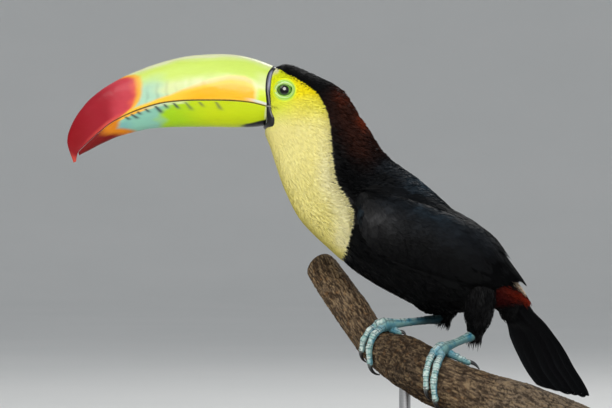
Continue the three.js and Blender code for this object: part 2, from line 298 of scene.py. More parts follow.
studio = {
    "aim": (-0.0826, 0, 0.2212),  # the middle of the view
    "distance": 2.6,
    "viewWidth": 0.4284,
    "sensor": 36.0,
    "farthest": 50,
    "floorRadius": 5.5,
    "wallRadius": 9.0,
    "wallHeight": 7.0,
    "floorLight": (0.82, 0.82, 0.81),
    "floorDark": (0.76, 0.77, 0.76),
    "skyColour": (0.93, 0.96, 1.0),
    "sky": 0.48,
}
lamps = {  # place, size, watts, colour
    "keyLamp": ((-1.0, -1.7, 1.7), 1.1, 10, (1.0, 0.98, 0.95)),
    "frontLamp": ((-0.1, -2.2, 1.1), 0.8, 27, (1.0, 0.98, 0.95)),
    "fillLamp": ((1.5, -1.9, 0.75), 1.6, 7, (0.95, 0.97, 1.0)),
    "backLamp": ((0.6, 1.5, 1.7), 1.0, 14, (1.0, 0.99, 0.97)),
}


def makeCamera():
    lens = bpy.data.cameras.new("camera")
    lens.sensor_width = studio["sensor"]
    lens.lens = studio["sensor"] * studio["distance"] / studio["viewWidth"]
    lens.clip_end = studio["farthest"]
    camera = bpy.data.objects.new("camera", lens)
    x, y, z = studio["aim"]
    camera.location = (x, y - studio["distance"], z)
    camera.rotation_euler = (math.pi / 2, 0, 0)
    scene.collection.objects.link(camera)
    scene.camera = camera


def makeFloor():  # a disc that turns up into a round wall, far outside every camera
    flat, wall = studio["floorRadius"], studio["wallRadius"]
    rise = wall - flat
    sweep = np.linspace(0, math.pi / 2, 24)
    disc = np.linspace(0.4, flat, 12)
    radii = np.concatenate([disc, flat + rise * np.sin(sweep), [wall]])
    heights = np.concatenate([0 * disc, rise * (1 - np.cos(sweep)), [studio["wallHeight"]]])
    turn = circle(96)
    upright = np.repeat(heights[:, None], len(turn), 1)
    rings = np.stack([np.outer(radii, np.cos(turn)), np.outer(radii, np.sin(turn)), upright], -1)
    faces = gridFaces(len(radii), len(turn)).tolist() + [list(range(len(turn)))]
    material, tree, shader = newMaterial("paleFloor", Roughness=0.85)
    grain = noiseAt(tree, ownSpace(tree), 3.0, 4.0)
    dark, light = opaque(studio["floorDark"]), opaque(studio["floorLight"])
    wire(tree, shader, Base_Color=blendColour(tree, grain, dark, light))
    build("studioFloor", rings / mm, faces, material, closed=False)


def makeSky():
    world = bpy.data.worlds.new("softSky")
    world.use_nodes = True
    sky = world.node_tree.nodes["Background"]
    wire(world.node_tree, sky, Color=opaque(studio["skyColour"]), Strength=studio["sky"])
    scene.world = world


def makeLamps():  # round soft lamps that look at the middle of the view
    for name, (spot, size, watts, colour) in lamps.items():
        lamp = bpy.data.lights.new(name, "AREA")
        lamp.shape, lamp.size = "DISK", size
        lamp.energy, lamp.color = watts, colour
        holder = bpy.data.objects.new(name, lamp)
        holder.location = spot
        away = np.subtract(spot, studio["aim"])
        tilt = math.acos(away[2] / np.linalg.norm(away))
        holder.rotation_euler = (tilt, 0, math.atan2(away[1], away[0]) + math.pi / 2)
        scene.collection.objects.link(holder)


print("camera, floor and lights")
makeCamera()
makeFloor()
makeSky()
makeLamps()
scene.view_settings.view_transform = "Standard"


# the bird's own shape, as the solids have it

bodyStations = [  # the back's x and z, the underside's x and z, half the width
    [-105.0, 317.1, -110.5, 275.1, 14.5],  # where the bill meets the face
    [-94.5, 319.0, -111.3, 270.0, 18.0],  # eyes
    [-77.0, 312.0, -107.8, 261.1, 21.0],
    [-58.0, 301.2, -102.2, 243.6, 22.5],  # nape
    [-45.2, 281.6, -96.6, 228.9, 25.0],
    [-28.0, 256.9, -86.1, 209.3, 31.0],  # foot of the neck
    [-3.5, 238.7, -66.5, 189.7, 36.0],
    [20.0, 217.8, -45.5, 172.2, 37.0],  # widest, under the wings
    [42.7, 195.0, -21.5, 158.0, 34.0],
    [56.5, 177.5, 3.6, 146.6, 27.0],  # between the thighs
    [67.2, 164.2, 30.6, 145.4, 18.5],
    [74.0, 153.6, 48.5, 148.0, 13.5],  # tail coverts
    [78.6, 143.8, 54.6, 140.6, 11.0],
]
roundness = 0.9
bodyEnd = len(bodyStations) - 1


def power(value, exponent=roundness):
    return np.sign(value) * np.abs(value) ** exponent


def bodyPoint(row, turn, lift=0.0):  # turn 0 is the back, pi the underside, the left side is negative
    backX, backZ, underX, underZ, half = columns(bodyStations, row)
    tall = np.hypot(backX - underX, backZ - underZ) / 2
    up = power(np.cos(turn)) * (tall + lift) / tall
    x = (backX + underX) / 2 + up * (backX - underX) / 2
    z = (backZ + underZ) / 2 + up * (backZ - underZ) / 2
    return np.stack([x, power(np.sin(turn)) * (half + lift), z], -1)


def bodyPlace(x, z):  # the row and turn at which the right side shows at x, z
    low, high = np.full(np.shape(x), -1.5), np.full(np.shape(x), bodyEnd + 1.0)
    for _ in range(36):  # halves the span until the row is found
        row = (low + high) / 2
        backX, backZ, underX, underZ, _ = columns(bodyStations, row)
        ahead = (backX - underX) * (z - underZ) - (backZ - underZ) * (x - underX) > 0
        low, high = np.where(ahead, low, row), np.where(ahead, row, high)
    tall = np.hypot(backX - underX, backZ - underZ)
    up = ((x - underX) * (backX - underX) + (z - underZ) * (backZ - underZ)) / tall**2 * 2 - 1
    return row, np.arccos(np.clip(power(np.clip(up, -1, 1), 1 / roundness), -1, 1))


# markings, the same for the skin and for the feathers that cover it

bibEdge = [  # row, and the turn past which the plumage is yellow; none is past the last
    (-0.2, 0.28), (0.1, 0.33), (0.3, 0.5), (0.55, 0.63), (0.97, 0.78), (1.5, 0.81), (1.92, 0.84),
    (2.37, 0.9), (2.74, 1.02), (3.18, 1.14), (3.77, 1.32), (4.31, 1.5), (4.71, 1.6), (5.25, 1.65),
    (5.6, 1.76), (5.85, 1.98), (6.1, 2.31), (6.2, 2.6), (6.25, 3.2),
]
ventEdge = [(0.45, 10.5), (0.7, 10.05), (1.36, 9.6), (2.3, 10.0), (3.1, 10.4)]  # turn, row where red begins
plumage = {
    "black": tone("050506"), "soot": tone("08090A"), "maroon": tone("3A1C12"), "russet": tone("6A2A16"),
    # the slate and steel greys on the next line are painted bluish sheen
    "slateSheen": tone("22272D"), "steel": tone("2C3F4C"), "ash": tone("3B3B3C"), "bib": tone("F9F0A2"),
    # the deeper, olive bib yellow on the next line is painted shade
    "bibPale": tone("FAF4C6"), "bibShade": tone("CFC25A"), "yellow": tone("FFEE00"), "lemon": tone("F6EE44"),
    # on the next line the red is darkened as painted shade, and the ember orange-red is a painted highlight
    "lime": tone("E8F010"), "loral": tone("F4F2C0"), "red": tone("2C0302"), "redHighlight": tone("661906"),
    # the white on the next line is darkened to a shaded cream, as painted shade
    "white": tone("D2BEA6"),
}
patches = {  # x, z and reach of each spot of colour
    "russet": [(-56, 294, 4.5), (-43, 273, 6.0)],  # redder down the nape
    "steel": [(3, 231, 7.5)],  # painted bluish sheen where the mantle turns over
}


def wrapped(turn):  # the turn from the back, 0 to pi, on either side
    return np.abs((np.asarray(turn) + math.pi) % fullTurn - math.pi)


def pastBib(row, turn):  # how far a turn lies inside the yellow's edge
    return wrapped(turn) - along(bibEdge, row)


def inBib(row, turn, soft=0.02):  # 1 in the yellow, 0 in the black
    return ease(-soft, soft, pastBib(row, turn))


def paintBlack(row, away, x, z, drift):
    nape = within(row, 2.5, 3.6, 4.4, 5.6) * ease(1.35, 0.75, away)
    # painted bluish sheen: slate over the back and mantle, and steel spots where the mantle turns over
    back = within(row, 4.9, 5.6, 6.5, 9.0) * ease(1.5, 0.7, away)
    spots = {name: [bell(np.hypot(x - patchX, z - patchZ), 0, reach) for patchX, patchZ, reach in listed]
             for name, listed in patches.items()}
    return painted(plumage["black"], plumage, [
        ("soot", 0.5 + 0.5 * drift),
        ("maroon", nape * (0.75 + 0.35 * drift)),
        *[("russet", spot * clamped(0.6 + 0.7 * drift)) for spot in spots["russet"]],
        ("slateSheen", clamped(back * (0.35 + 0.5 * drift))),
        *[("steel", clamped(spot * (0.55 + 0.6 * drift))) for spot in spots["steel"]],
    ])


def paintBib(row, away, x, z, drift):
    lemon = mixed(plumage["lime"], plumage["lemon"], ease(-102, -86, x))
    golden = mixed(plumage["lime"], plumage["yellow"], ease(-98, -86, x))
    bib = painted(plumage["bib"], plumage, [
        ("bibPale", ease(0.5, 0.05, away - along(bibEdge, row)) * ease(3, 5, row)),
        # painted shade: the bib turns deeper and olive towards its front and underside, lower down
        ("bibShade", 0.75 * ease(2.35, 3.1, away) * ease(1.5, 4.5, row)),
    ])
    bib = mixed(bib, lemon, 0.87 * ease(270, 292, z + 2 * drift))
    bib = mixed(bib, golden, ease(290, 299, z + 1.5 * drift))
    bib = mixed(bib, plumage["loral"], ease(0.85, 0.6, away) * ease(0.6, 0.3, row))
    creaseShade = bell(z + 0.2 * (x + 107), 289.0, 0.5) * ease(-101.5, -103.5, x)  # painted shade of a crease that runs back from the gape
    return bib * (1 - 0.7 * creaseShade[..., None])


def markings(row, turn):  # the colour of the plumage at each place
    row, turn = np.asarray(row, float), np.asarray(turn, float)
    away, spots = wrapped(turn), bodyPoint(row, turn)
    x, z, drift = spots[..., 0], spots[..., 2], cloud(spots, 9.0, 3)
    colour = mixed(paintBlack(row, away, x, z, drift), paintBib(row, away, x, z, drift), inBib(row, turn))
    vent = ease(-0.15, 0.4, row - along(ventEdge, away))
    vent = vent * (1 - ease(10.8, 11.0, row) * ease(0.8, 1.1, away))
    # painted light on the red: the red is darkened as painted shade, and it turns orange-red towards the
    # rump as painted highlight
    colour = mixed(colour, mixed(plumage["red"], plumage["redHighlight"], ease(1.5, 0.7, away)), vent)
    # the white rump, darkened to a shaded cream as painted shade
    return mixed(colour, plumage["white"], within(row, 9.7, 9.9, 10.4, 10.55) * ease(0.5, 0.38, away))


# feathers: thin vanes, each a fan of barb strips that lies along the surface it grows from

patchHalf = 0.0015  # half the side of each feather's patch in the OFBake map


def sow(surface, aSpan, bSpan, apart, jitter=0.32):  # staggered roots, apart = (along, across)
    roots, samples, nudge = [], 160, 0.01
    a, odd = aSpan[0], 0
    while a < aSpan[1]:
        line = np.linspace(*bSpan, samples)
        points = surface(np.full(samples, a), line, 0.0)
        way = walked(points)
        count = max(2, round(way[-1] / apart[1]))
        spots = (np.arange(count) + 0.25 + 0.5 * (odd % 2)) / count
        spots = spots + dice.uniform(-jitter, jitter, count) / count
        b = np.interp(spots * way[-1], way, line)
        ahead = surface(np.full(samples, a + nudge), line, 0.0)
        stride = np.linalg.norm(ahead - points, axis=1).mean() / nudge
        shift = dice.uniform(-jitter, jitter, count) * apart[0] / stride
        roots.append(np.stack([a + shift, b], -1))
        a, odd = a + apart[0] / stride, odd + 1
    return np.concatenate(roots)


def paces(surface, a, b, lift, nudge, heading):  # the steps in a and b that go one millimetre on and across
    onA = (surface(a + nudge, b, lift) - surface(a - nudge, b, lift)) / (2 * nudge)
    onB = (surface(a, b + nudge, lift) - surface(a, b - nudge, lift)) / (2 * nudge)
    flow = unit(onA)
    over = unit(onB - np.sum(onB * flow, -1, keepdims=True) * flow)
    aa, ab, bb = (np.sum(p * q, -1) for p, q in ((onA, onA), (onA, onB), (onB, onB)))
    level = aa * bb - ab * ab
    cosine, sine = np.cos(heading)[:, None], np.sin(heading)[:, None]
    steps = []
    for direction in (cosine * flow + sine * over, cosine * over - sine * flow):
        da, db = np.sum(direction * onA, -1), np.sum(direction * onB, -1)
        steps.append(((da * bb - db * ab) / level, (db * aa - da * ab) / level))
    outward = surface(a, b, lift + 1) - surface(a, b, lift)
    inside = np.sum(np.cross(over, flow) * outward, -1) < 0  # true where faces wound this way look inwards
    return (*steps, inside)


def unwrapBody(row, turn):  # a feather's place in the OFBake map
    return np.stack([wrapped(turn) * np.sign(turn) / fullTurn + 0.5, row / 13 + 0.04], -1)


def vaneFaces(count, steps, inside):  # two triangles for each step of each strip, looking outwards
    order = np.arange(count * (steps + 1) * 2).reshape(-1, steps + 1, 2)
    left, right = order[..., 0], order[..., 1]
    near = np.stack([left[:, :-1], right[:, :-1], right[:, 1:]], -1)
    far = np.stack([left[:, :-1], right[:, 1:], left[:, 1:]], -1)
    faces = [np.where(inside[:, None, None], half[..., ::-1], half) for half in (near, far)]
    return np.concatenate([half.reshape(-1, 3) for half in faces])


def vanes(surface, roots, tints, shape, heading=0.0, size=1.0, unwrap=unwrapBody):
    count, strips, steps = len(roots), shape["strips"], shape["steps"]
    each = (slice(None), None, None, None)  # feather, strip, step along it, left or right edge
    low, high = (np.broadcast_to(shape[key], count) for key in ("rootLift", "tipLift"))
    heading = np.broadcast_to(heading, count) + dice.normal(0, shape["stray"], count)
    onward, across, inside = paces(surface, *roots.T, low, shape.get("nudge", 0.01), heading)
    size = np.broadcast_to(size, count) * (1 + shape.get("uneven", 0.12) * dice.uniform(-1, 1, count))
    length, width = (shape[key] * size[each] for key in ("length", "width"))
    middle = ((np.arange(strips) * 2 + 1) / strips - 1)[None, :, None, None]
    edges = np.array([-1, 1]) / strips
    t = np.linspace(0, 1, steps + 1)[None, None, :, None]
    reach = 1 - shape["round"] * np.abs(middle + edges) ** shape.get("blunt", 2.2)
    reach = reach - shape["ragged"] * dice.random((count, strips, 1, 1))
    u = middle + (1 - ease(shape["part"], 1.08, t) ** 1.2) * edges  # the strips part towards their tips
    outline = shape["root"] + (1 - shape["root"]) * ease(0, 0.55, t)
    s, v = t * length * reach, u * width / 2 * outline
    lift = low[each] + (high - low)[each] * t**shape.get("rise", 1.2)
    lift = lift - shape["cup"] * u * u * ease(0, 0.3, t)
    lift = lift + shape["ruffle"] * t * dice.normal(0, 1, (count, strips, 1, 1))
    spots = [root[each] + s * on[each] + v * over[each] for root, on, over in zip(roots.T, onward, across)]
    points = surface(*spots, lift)
    u, t = (np.broadcast_to(value, points.shape[:-1]) for value in (u, t))
    shade = 1 - shape["shade"] * (1 - t) + shape["fleck"] * dice.normal(0, 1, (count, strips, 1, 1))
    shade = shade * (1 + shape["vary"] * dice.normal(0, 1, (count, 1, 1, 1)))
    shade = shade * (1 + shape.get("fringe", 0) * np.abs(u) ** 8)
    patch = unwrap(*roots.T)[:, None, None, None, :] + np.stack([u, 2 * t - 1], -1) * patchHalf
    return {
        "points": points.reshape(-1, 3),
        "faces": vaneFaces(count * strips, steps, np.repeat(inside, strips)),
        "vane": np.stack([u / 2 + 0.5, t], -1).reshape(-1, 2),
        "patch": patch.reshape(-1, 2),
        "tints": clamped(tints[:, None, None, None, :] * shade[..., None]).reshape(-1, 3),
    }


def coat(name, tufts, finish, slot="black_plumage"):
    firsts = np.cumsum([0] + [len(tuft["points"]) for tuft in tufts])
    faces = np.concatenate([tuft["faces"] + first for tuft, first in zip(tufts, firsts)])
    points, vane, patch, tints = (np.concatenate([tuft[key] for tuft in tufts])
                                  for key in ("points", "vane", "patch", "tints"))
    print("   ", name, len(faces), "triangles")
    maps = [("OFBake", patch), ("VaneMap", vane)]
    return build(name, points, faces, finishes[finish], maps, tints, slot, closed=False)


# shader groups that several finishes share

def makeBarbGroup():  # barbs slanting from a vane's shaft, from its own map
    inputs = [("Barbs", "Float", 16.0), ("Slant", "Float", 3.0), ("Depth", "Float", 0.2)]
    group, given, made = newGroup("barbPattern", inputs, ["Shade", "Height"])
    vane = addNode(group, "UVMap", uv_map="VaneMap").outputs[0]
    across, onward, _ = addNode(group, "SeparateXYZ", {0: vane}).outputs
    off = sums(group, "ABSOLUTE", sums(group, "MULTIPLY_ADD", across, 2.0, -1.0))
    slanted = sums(group, "MULTIPLY", off, given["Slant"])
    line = sums(group, "SUBTRACT", sums(group, "MULTIPLY", onward, given["Barbs"]), slanted)
    spot = addNode(group, "CombineXYZ", {0: line, 1: sums(group, "MULTIPLY", across, 2.5)}).outputs[0]
    noise = noiseAt(group, spot, 1.0, 3.0, 0.6)
    shaft = ranged(group, off, 0.0, 0.09, 1.0, 0.0, "SMOOTHSTEP")
    wire(group, made, Shade=shadeOf(group, noise, given["Depth"]),
         Height=sums(group, "ADD", noise, sums(group, "MULTIPLY", shaft, 0.8)))
    return group


def makeMottleGroup():  # lumps of lighter and darker, in the piece's own space
    inputs = [("Size", "Float", 100.0), ("Depth", "Float", 0.2), ("Stretch", "Vector", (1.0, 1.0, 1.0))]
    group, given, made = newGroup("mottle", inputs, ["Shade", "Height"])
    spot = vectorSums(group, "MULTIPLY", ownSpace(group), given["Stretch"])
    noise = noiseAt(group, spot, given["Size"], 5.0, 0.6)
    wire(group, made, Shade=shadeOf(group, noise, given["Depth"]), Height=noise)
    return group


def shadeOf(tree, noise, depth):  # a factor about 1 from a noise about a half
    darker = sums(tree, "MULTIPLY", sums(tree, "SUBTRACT", noise, 0.5), depth)
    return sums(tree, "ADD", darker, 1.0)


def tinted(tree, shade):  # the piece's painted tint, lighter and darker by a shade
    tint = addNode(tree, "Attribute", attribute_name="Tint").outputs["Color"]
    return scaled(tree, tint, shade)


def raised(tree, height, strength, depth):
    feeds = {"Strength": strength, "Distance": depth * mm, "Height": height}
    return addNode(tree, "Bump", feeds).outputs[0]


print("shader groups")
barbGroup = makeBarbGroup()
mottleGroup = makeMottleGroup()


# finishes

featherFinishes = {
    # roughness, specular, sheen and its tint, barbs along a vane, their slant, depth and relief
    "silkFeather": (0.7, 0.25, 0.12, (1.0, 0.97, 0.75), 7.0, 2.0, 0.12, 0.2),
    "contourFeather": (0.5, 0.06, 0.006, (0.6, 0.7, 0.9), 14.0, 3.5, 0.55, 0.5),
    "quillFeather": (0.5, 0.025, 0.0, (0.6, 0.7, 0.9), 60.0, 9.0, 0.5, 0.45),
    "ventFeather": (0.65, 0.07, 0.012, (1.0, 0.7, 0.6), 12.0, 3.0, 0.3, 0.4),
}
mottledFinishes = {
    # the mottle's values, its relief's strength and depth, how it spreads roughness, plain values
    "birdSkin": ({"Size": 900.0, "Depth": 0.18}, (0.3, 0.15), None,
                 {"Roughness": 0.5, "Specular_IOR_Level": 0.14, "Subsurface_Weight": 0.08,
                  "Subsurface_Scale": 0.001, "Subsurface_Radius": (1.0, 0.5, 0.3)}),
    "bandHorn": ({"Size": 700.0, "Depth": 0.5, "Stretch": (1.0, 1.0, 0.3)}, (0.25, 0.15), None,
                 {"Roughness": 0.35, "Specular_IOR_Level": 0.35, "Coat_Weight": 0.25,
                  "Coat_Roughness": 0.2}),
    "clawHorn": ({"Size": 900.0, "Depth": 0.5}, (0.2, 0.1), (0.2, 0.25),
                 {"Specular_IOR_Level": 0.5, "Coat_Weight": 0.3, "Coat_Roughness": 0.15}),
    "barkFinish": ({"Size": 420.0, "Depth": 0.5}, (0.8, 0.5), (0.2, 0.75), {"Specular_IOR_Level": 0.15}),
}


def makeFeatherFinish(name):
    rough, specular, sheen, sheenTint, barbs, slant, depth, relief = featherFinishes[name]
    material, tree, shader = newMaterial(
        name, Roughness=rough, Specular_IOR_Level=specular, Sheen_Weight=sheen, Sheen_Roughness=0.4,
        Sheen_Tint=opaque(sheenTint),
    )
    barb = useGroup(tree, barbGroup, Barbs=barbs, Slant=slant, Depth=depth)
    wire(tree, shader, Base_Color=tinted(tree, barb["Shade"]),
         Normal=raised(tree, barb["Height"], relief, 0.25))
    return material


def makeMottledFinish(name):
    grain, relief, roughness, values = mottledFinishes[name]
    material, tree, shader = newMaterial(name, **values)
    mottle = useGroup(tree, mottleGroup, **grain)
    wire(tree, shader, Base_Color=tinted(tree, mottle["Shade"]),
         Normal=raised(tree, mottle["Height"], *relief))
    if roughness:
        wire(tree, shader, Roughness=sums(tree, "MULTIPLY_ADD", mottle["Height"], *roughness))
    return material


finishes = {name: makeFeatherFinish(name) for name in featherFinishes}
finishes.update({name: makeMottledFinish(name) for name in mottledFinishes})


# the folded wings' shape

wingStations = [  # the turns of a wing's back and lower edges, from wrist to tip
    [1.3, 1.62], [0.95, 1.98], [0.55, 1.94], [0.16, 1.74], [0.06, 1.52], [0.05, 1.3], [0.12, 0.85],
]
wingForm = {
    "from": 5.55, "to": 10.35,  # body rows
    "thick": 5.4, "edge": 0.7,  # at its fullest, and at its edges
    "clear": 0.55,  # gap over the body
    "coat": 1.5,  # how far the wing's skin lies below its feathers
    "slack": 0.6,  # how far the skin's inner side dips into the body
    "skinShares": (0.01, 0.84), "skinPlaces": (0.03, 0.93),
}


def wingRow(share):
    return wingForm["from"] + (wingForm["to"] - wingForm["from"]) * share


def wingTurn(side, share, place):
    upper, lower = columns(wingStations, share * (len(wingStations) - 1))
    return side * (upper + (lower - upper) * place)


def wingPoint(side, share, place, lift=0.0):  # share from wrist to tip, place from the back edge down
    share, place = np.asarray(share, float), np.asarray(place, float)
    inShare, inPlace = clamped(share), clamped(place)
    swell = np.sin(math.pi * inPlace) ** 0.5 * np.sin(math.pi * (0.12 + 0.8 * inShare)) ** 0.5
    mantle = 1.3 * ease(0.25, 0.55, inShare) * (1 - inPlace) ** 2
    thick = wingForm["edge"] + wingForm["thick"] * np.minimum(1.3, swell + mantle) * (1 - 0.6 * inShare**2)
    return bodyPoint(wingRow(share), wingTurn(side, share, place), wingForm["clear"] + thick + lift)


# branch and limbs, along the same lines as the solids

def curvePoint(points, share):  # a centripetal curve through the points
    points = np.asarray(points, float)
    share = np.asarray(share, float) * (len(points) - 1)
    low = np.clip(share.astype(int), 0, len(points) - 2)
    before, start, end, after = fourAround(points, low)
    lead, step, trail = (np.linalg.norm(q - p, axis=-1, keepdims=True) ** 0.5
                         for p, q in ((before, start), (start, end), (end, after)))
    leaving = ((start - before) / lead - (end - before) / (lead + step) + (end - start) / step) * step
    arriving = ((end - start) / step - (after - start) / (step + trail) + (after - end) / trail) * step
    return cubic((share - low)[..., None], start, leaving, end, arriving)


def curveAlong(points, share):
    nudge = 1e-4
    share = np.asarray(share, float)
    return unit(curvePoint(points, clamped(share + nudge)) - curvePoint(points, clamped(share - nudge)))


def around(middle, first, second, out, turn):  # a point out from the middle, turn 0 towards the first way
    out = out[..., None]
    return middle + first * out * np.cos(turn)[..., None] + second * out * np.sin(turn)[..., None]


def widths(radii, share):  # a limb's radius at each share of its length
    return between([[radius] for radius in radii], share * (len(radii) - 1))[..., 0]


branchLine = [
    (-72, 58, 177), (-54, 33, 151), (-32.7, 6, 121.9),  # under the right foot
    (-14, -15, 112.3), (4.8, -34, 100.6),  # under the left foot
    (43.5, -54, 86.5), (76.5, -67, 76.5), (107, -76, 64),
]
branchRadii = [11.5, 12, 12.8, 17, 18, 18, 18, 18.5]
branchLength = walked(curvePoint(branchLine, np.linspace(0, 1, 201)))[-1]


def barkPoint(share, turn, lift=0.0):  # turn 0 is the branch's top, positive towards the bird's front
    share, turn = np.broadcast_arrays(np.asarray(share, float), np.asarray(turn, float))
    path = curveAlong(branchLine, share)
    top = unit(np.array([0, 0, 1]) - path * path[..., 2:])
    swell = 1 + 0.035 * np.sin(3 * turn + 17 * share) + 0.025 * np.sin(2 * turn - 23 * share)
    out = widths(branchRadii, share) * swell + lift
    return around(curvePoint(branchLine, share), top, np.cross(path, top), out, turn)


def limbPoint(points, radii, share, turn, lift=0.0):  # a round limb through points, each with its radius
    share, turn = np.broadcast_arrays(np.asarray(share, float), np.asarray(turn, float))
    inside = clamped(share)
    path = curveAlong(points, inside)
    across = unit(np.array([0, 1, 0]) - path * path[..., 1:2])
    past = (share - inside)[..., None] * np.linalg.norm(np.subtract(points[-1], points[0]))
    middle = curvePoint(points, inside) + path * past
    return around(middle, across, np.cross(path, across), widths(radii, inside) + lift, turn)


legs = {
    "Left": {
        "thigh": [(36, -11, 172), (37.5, -15, 155), (37.2, -12, 141), (35.6, -8.2, 130.6)],
        "heel": (34, -7.5, 129.6),
        "share": 4 / 7,  # where on the branch it stands
        "shankShadow": (33, 42),  # the x from which the shank gets painted shadow under the body
        # each toe's root and claw, along the branch from where the leg stands
        "toes": {1: (-3.1, -5), 2: (-2.4, 7.2), 3: (3.4, 13), 4: (3.6, 16)},
    },
    "Right": {
        "thigh": [(14, 13, 182), (18, 18, 166), (18.6, 17.5, 152), (15.4, 16, 141.6)],
        "heel": (13.6, 15.6, 140.6),
        "share": 2 / 7,
        "shankShadow": (-16, 4),
        "toes": {1: (-3.4, -7), 2: (-4.0, 2.4), 3: (4.4, 15.5), 4: (4.6, 15)},
    },
}
thighRadii = [15, 12.5, 9.2, 4.9]
foot = {
    "shankRadii": [4.1, 3.2, 2.8, 2.9, 3.6, 5.2, 4.4],
    "padLift": 4.8, "padReach": 4.5,
    "wrap": {1: -1.35, 2: 1.7, 3: 2.0, 4: -0.45},  # the turn round the branch that each toe reaches
    "radius": {1: 2.5, 2: 2.7, 3: 2.8, 4: 2.7},
    "root": 0.27,  # the turn at which toes leave the pad
    "knuckles": 3, "knuckle": 0.09, "taper": 0.26,
    "clear": 0.3,  # how far toes and claws stand over the bark
    "clawStart": -1.0, "clawLength": 10.7,  # along the bark, from the end of the toe
    "clawArch": 1.3, "clawTip": 0.35, "clawShare": 0.62,
    "voxel": 0.42, "soften": 5,
    "plateToe": 2.3, "plateShank": 4.2,  # how long a scale is
    "plateHeight": 0.36, "grooveDepth": 0.2, "rimDepth": 0.15, "soleHeight": 0.16,
    "shankFront": (-0.75, 0, 0.65),
}
footColours = {
    "pale": tone("DEE9E2"), "aqua": tone("80A8A4"), "blue": tone("4188A2"), "groove": tone("123440"),
    "shade": tone("3A6068"), "shankShadow": tone("0C2029"),
}


def toePoint(leg, toe, place, lift):  # a toe's middle, hugging the bark from its pad (0) to its claw (1)
    start, end = leg["toes"][toe]
    wrap = foot["wrap"][toe]
    place = np.asarray(place, float)
    reach = start + (end - start) * power(place, 0.8)
    turn = np.sign(wrap) * foot["root"] * (1 - place) + wrap * place
    return barkPoint(leg["share"] + reach / branchLength, turn, lift)


def toeLine(leg, toe):
    place = np.linspace(0, 1, 10)
    knuckles = 1 + foot["knuckle"] * np.cos(place * foot["knuckles"] * fullTurn)
    radii = foot["radius"][toe] * (1 - foot["taper"] * place) * knuckles
    return toePoint(leg, toe, place, radii + foot["clear"]), radii


def shankLine(leg):
    heel, ankle = np.array(leg["heel"]), barkPoint(leg["share"], 0, foot["padLift"])
    line = [heel + (ankle - heel) * step for step in (0, 0.25, 0.5, 0.75, 1)]
    return np.array(line + [ankle + unit(ankle - heel) * foot["padReach"]]), np.array(foot["shankRadii"])


def rounded(points, radii, steps, sides):  # a closed limb whose far end is domed
    rings = [limbPoint(points, radii, np.linspace(0, 1, steps)[:, None], circle(sides))]
    tip, path = np.array(points[-1]), unit(np.subtract(points[-1], points[-2]))
    ring = rings[0][-1]
    for angle in (0.45, 0.9, 1.3):
        rings.append(((ring - tip) * math.cos(angle) + tip + path * radii[-1] * math.sin(angle))[None])
    return np.concatenate(rings)


def readBack(mesh, name):  # a coordinate or a normal for each vertex
    values = np.empty(len(mesh.vertices) * 3)
    mesh.vertices.foreach_get(name, values)
    return values.reshape(-1, 3)


def meltTogether(shells, voxel, smooth):  # joins closed shells into one, and softens where they meet
    faces, first = [], 0
    for shell in shells:
        faces += capped(shell, first)
        first += shell.shape[0] * shell.shape[1]
    mesh = bpy.data.meshes.new("melt")
    fillMesh(mesh, np.concatenate([shell.reshape(-1, 3) for shell in shells]) * mm, faces)
    lump = bpy.data.objects.new("melt", mesh)
    scene.collection.objects.link(lump)
    remesh = lump.modifiers.new("remesh", "REMESH")
    remesh.mode, remesh.voxel_size = "VOXEL", voxel * mm
    soften = lump.modifiers.new("soften", "SMOOTH")
    soften.factor, soften.iterations = 0.5, smooth
    made = lump.evaluated_get(bpy.context.evaluated_depsgraph_get()).to_mesh()
    spots, normals = readBack(made, "co") / mm, readBack(made, "normal")
    quads = [list(face.vertices) for face in made.polygons]
    lump.to_mesh_clear()
    bpy.data.objects.remove(lump)
    bpy.data.meshes.remove(mesh)
    return spots, normals, quads


def barkMiddle(leg, spots):  # the branch's middle beside each spot
    line = curvePoint(branchLine, leg["share"] + np.linspace(-0.12, 0.12, 60))
    return line[np.linalg.norm(spots[:, None] - line, axis=-1).argmin(1)]


def footPlaces(leg, limbs, spots):  # the way along a limb, a scale's length, and how far each spot faces up
    best = np.full(len(spots), 1e9)
    way, plate, upper = np.zeros(len(spots)), np.ones(len(spots)), np.zeros(len(spots))
    share = np.linspace(0, 1, 90)
    for index, (points, radii, pitch) in enumerate(limbs):
        line = curvePoint(points, share)
        far = np.linalg.norm(spots[:, None] - line, axis=-1) - widths(radii, share)
        near, closer = far.argmin(1), far.min(1) < best
        best = np.where(closer, far.min(1), best)
        off = spots - line[near]
        shift = np.sum(off * unit(np.gradient(line, axis=0)[near]), -1)
        isShank = index == 0
        face = np.array(foot["shankFront"]) if isShank else unit(line[near] - barkMiddle(leg, line[near]))
        way = np.where(closer, walked(line)[near] + shift, way)
        plate = np.where(closer, pitch, plate)
        upper = np.where(closer, np.sum(unit(off) * face, -1), upper)
    return way, plate, upper


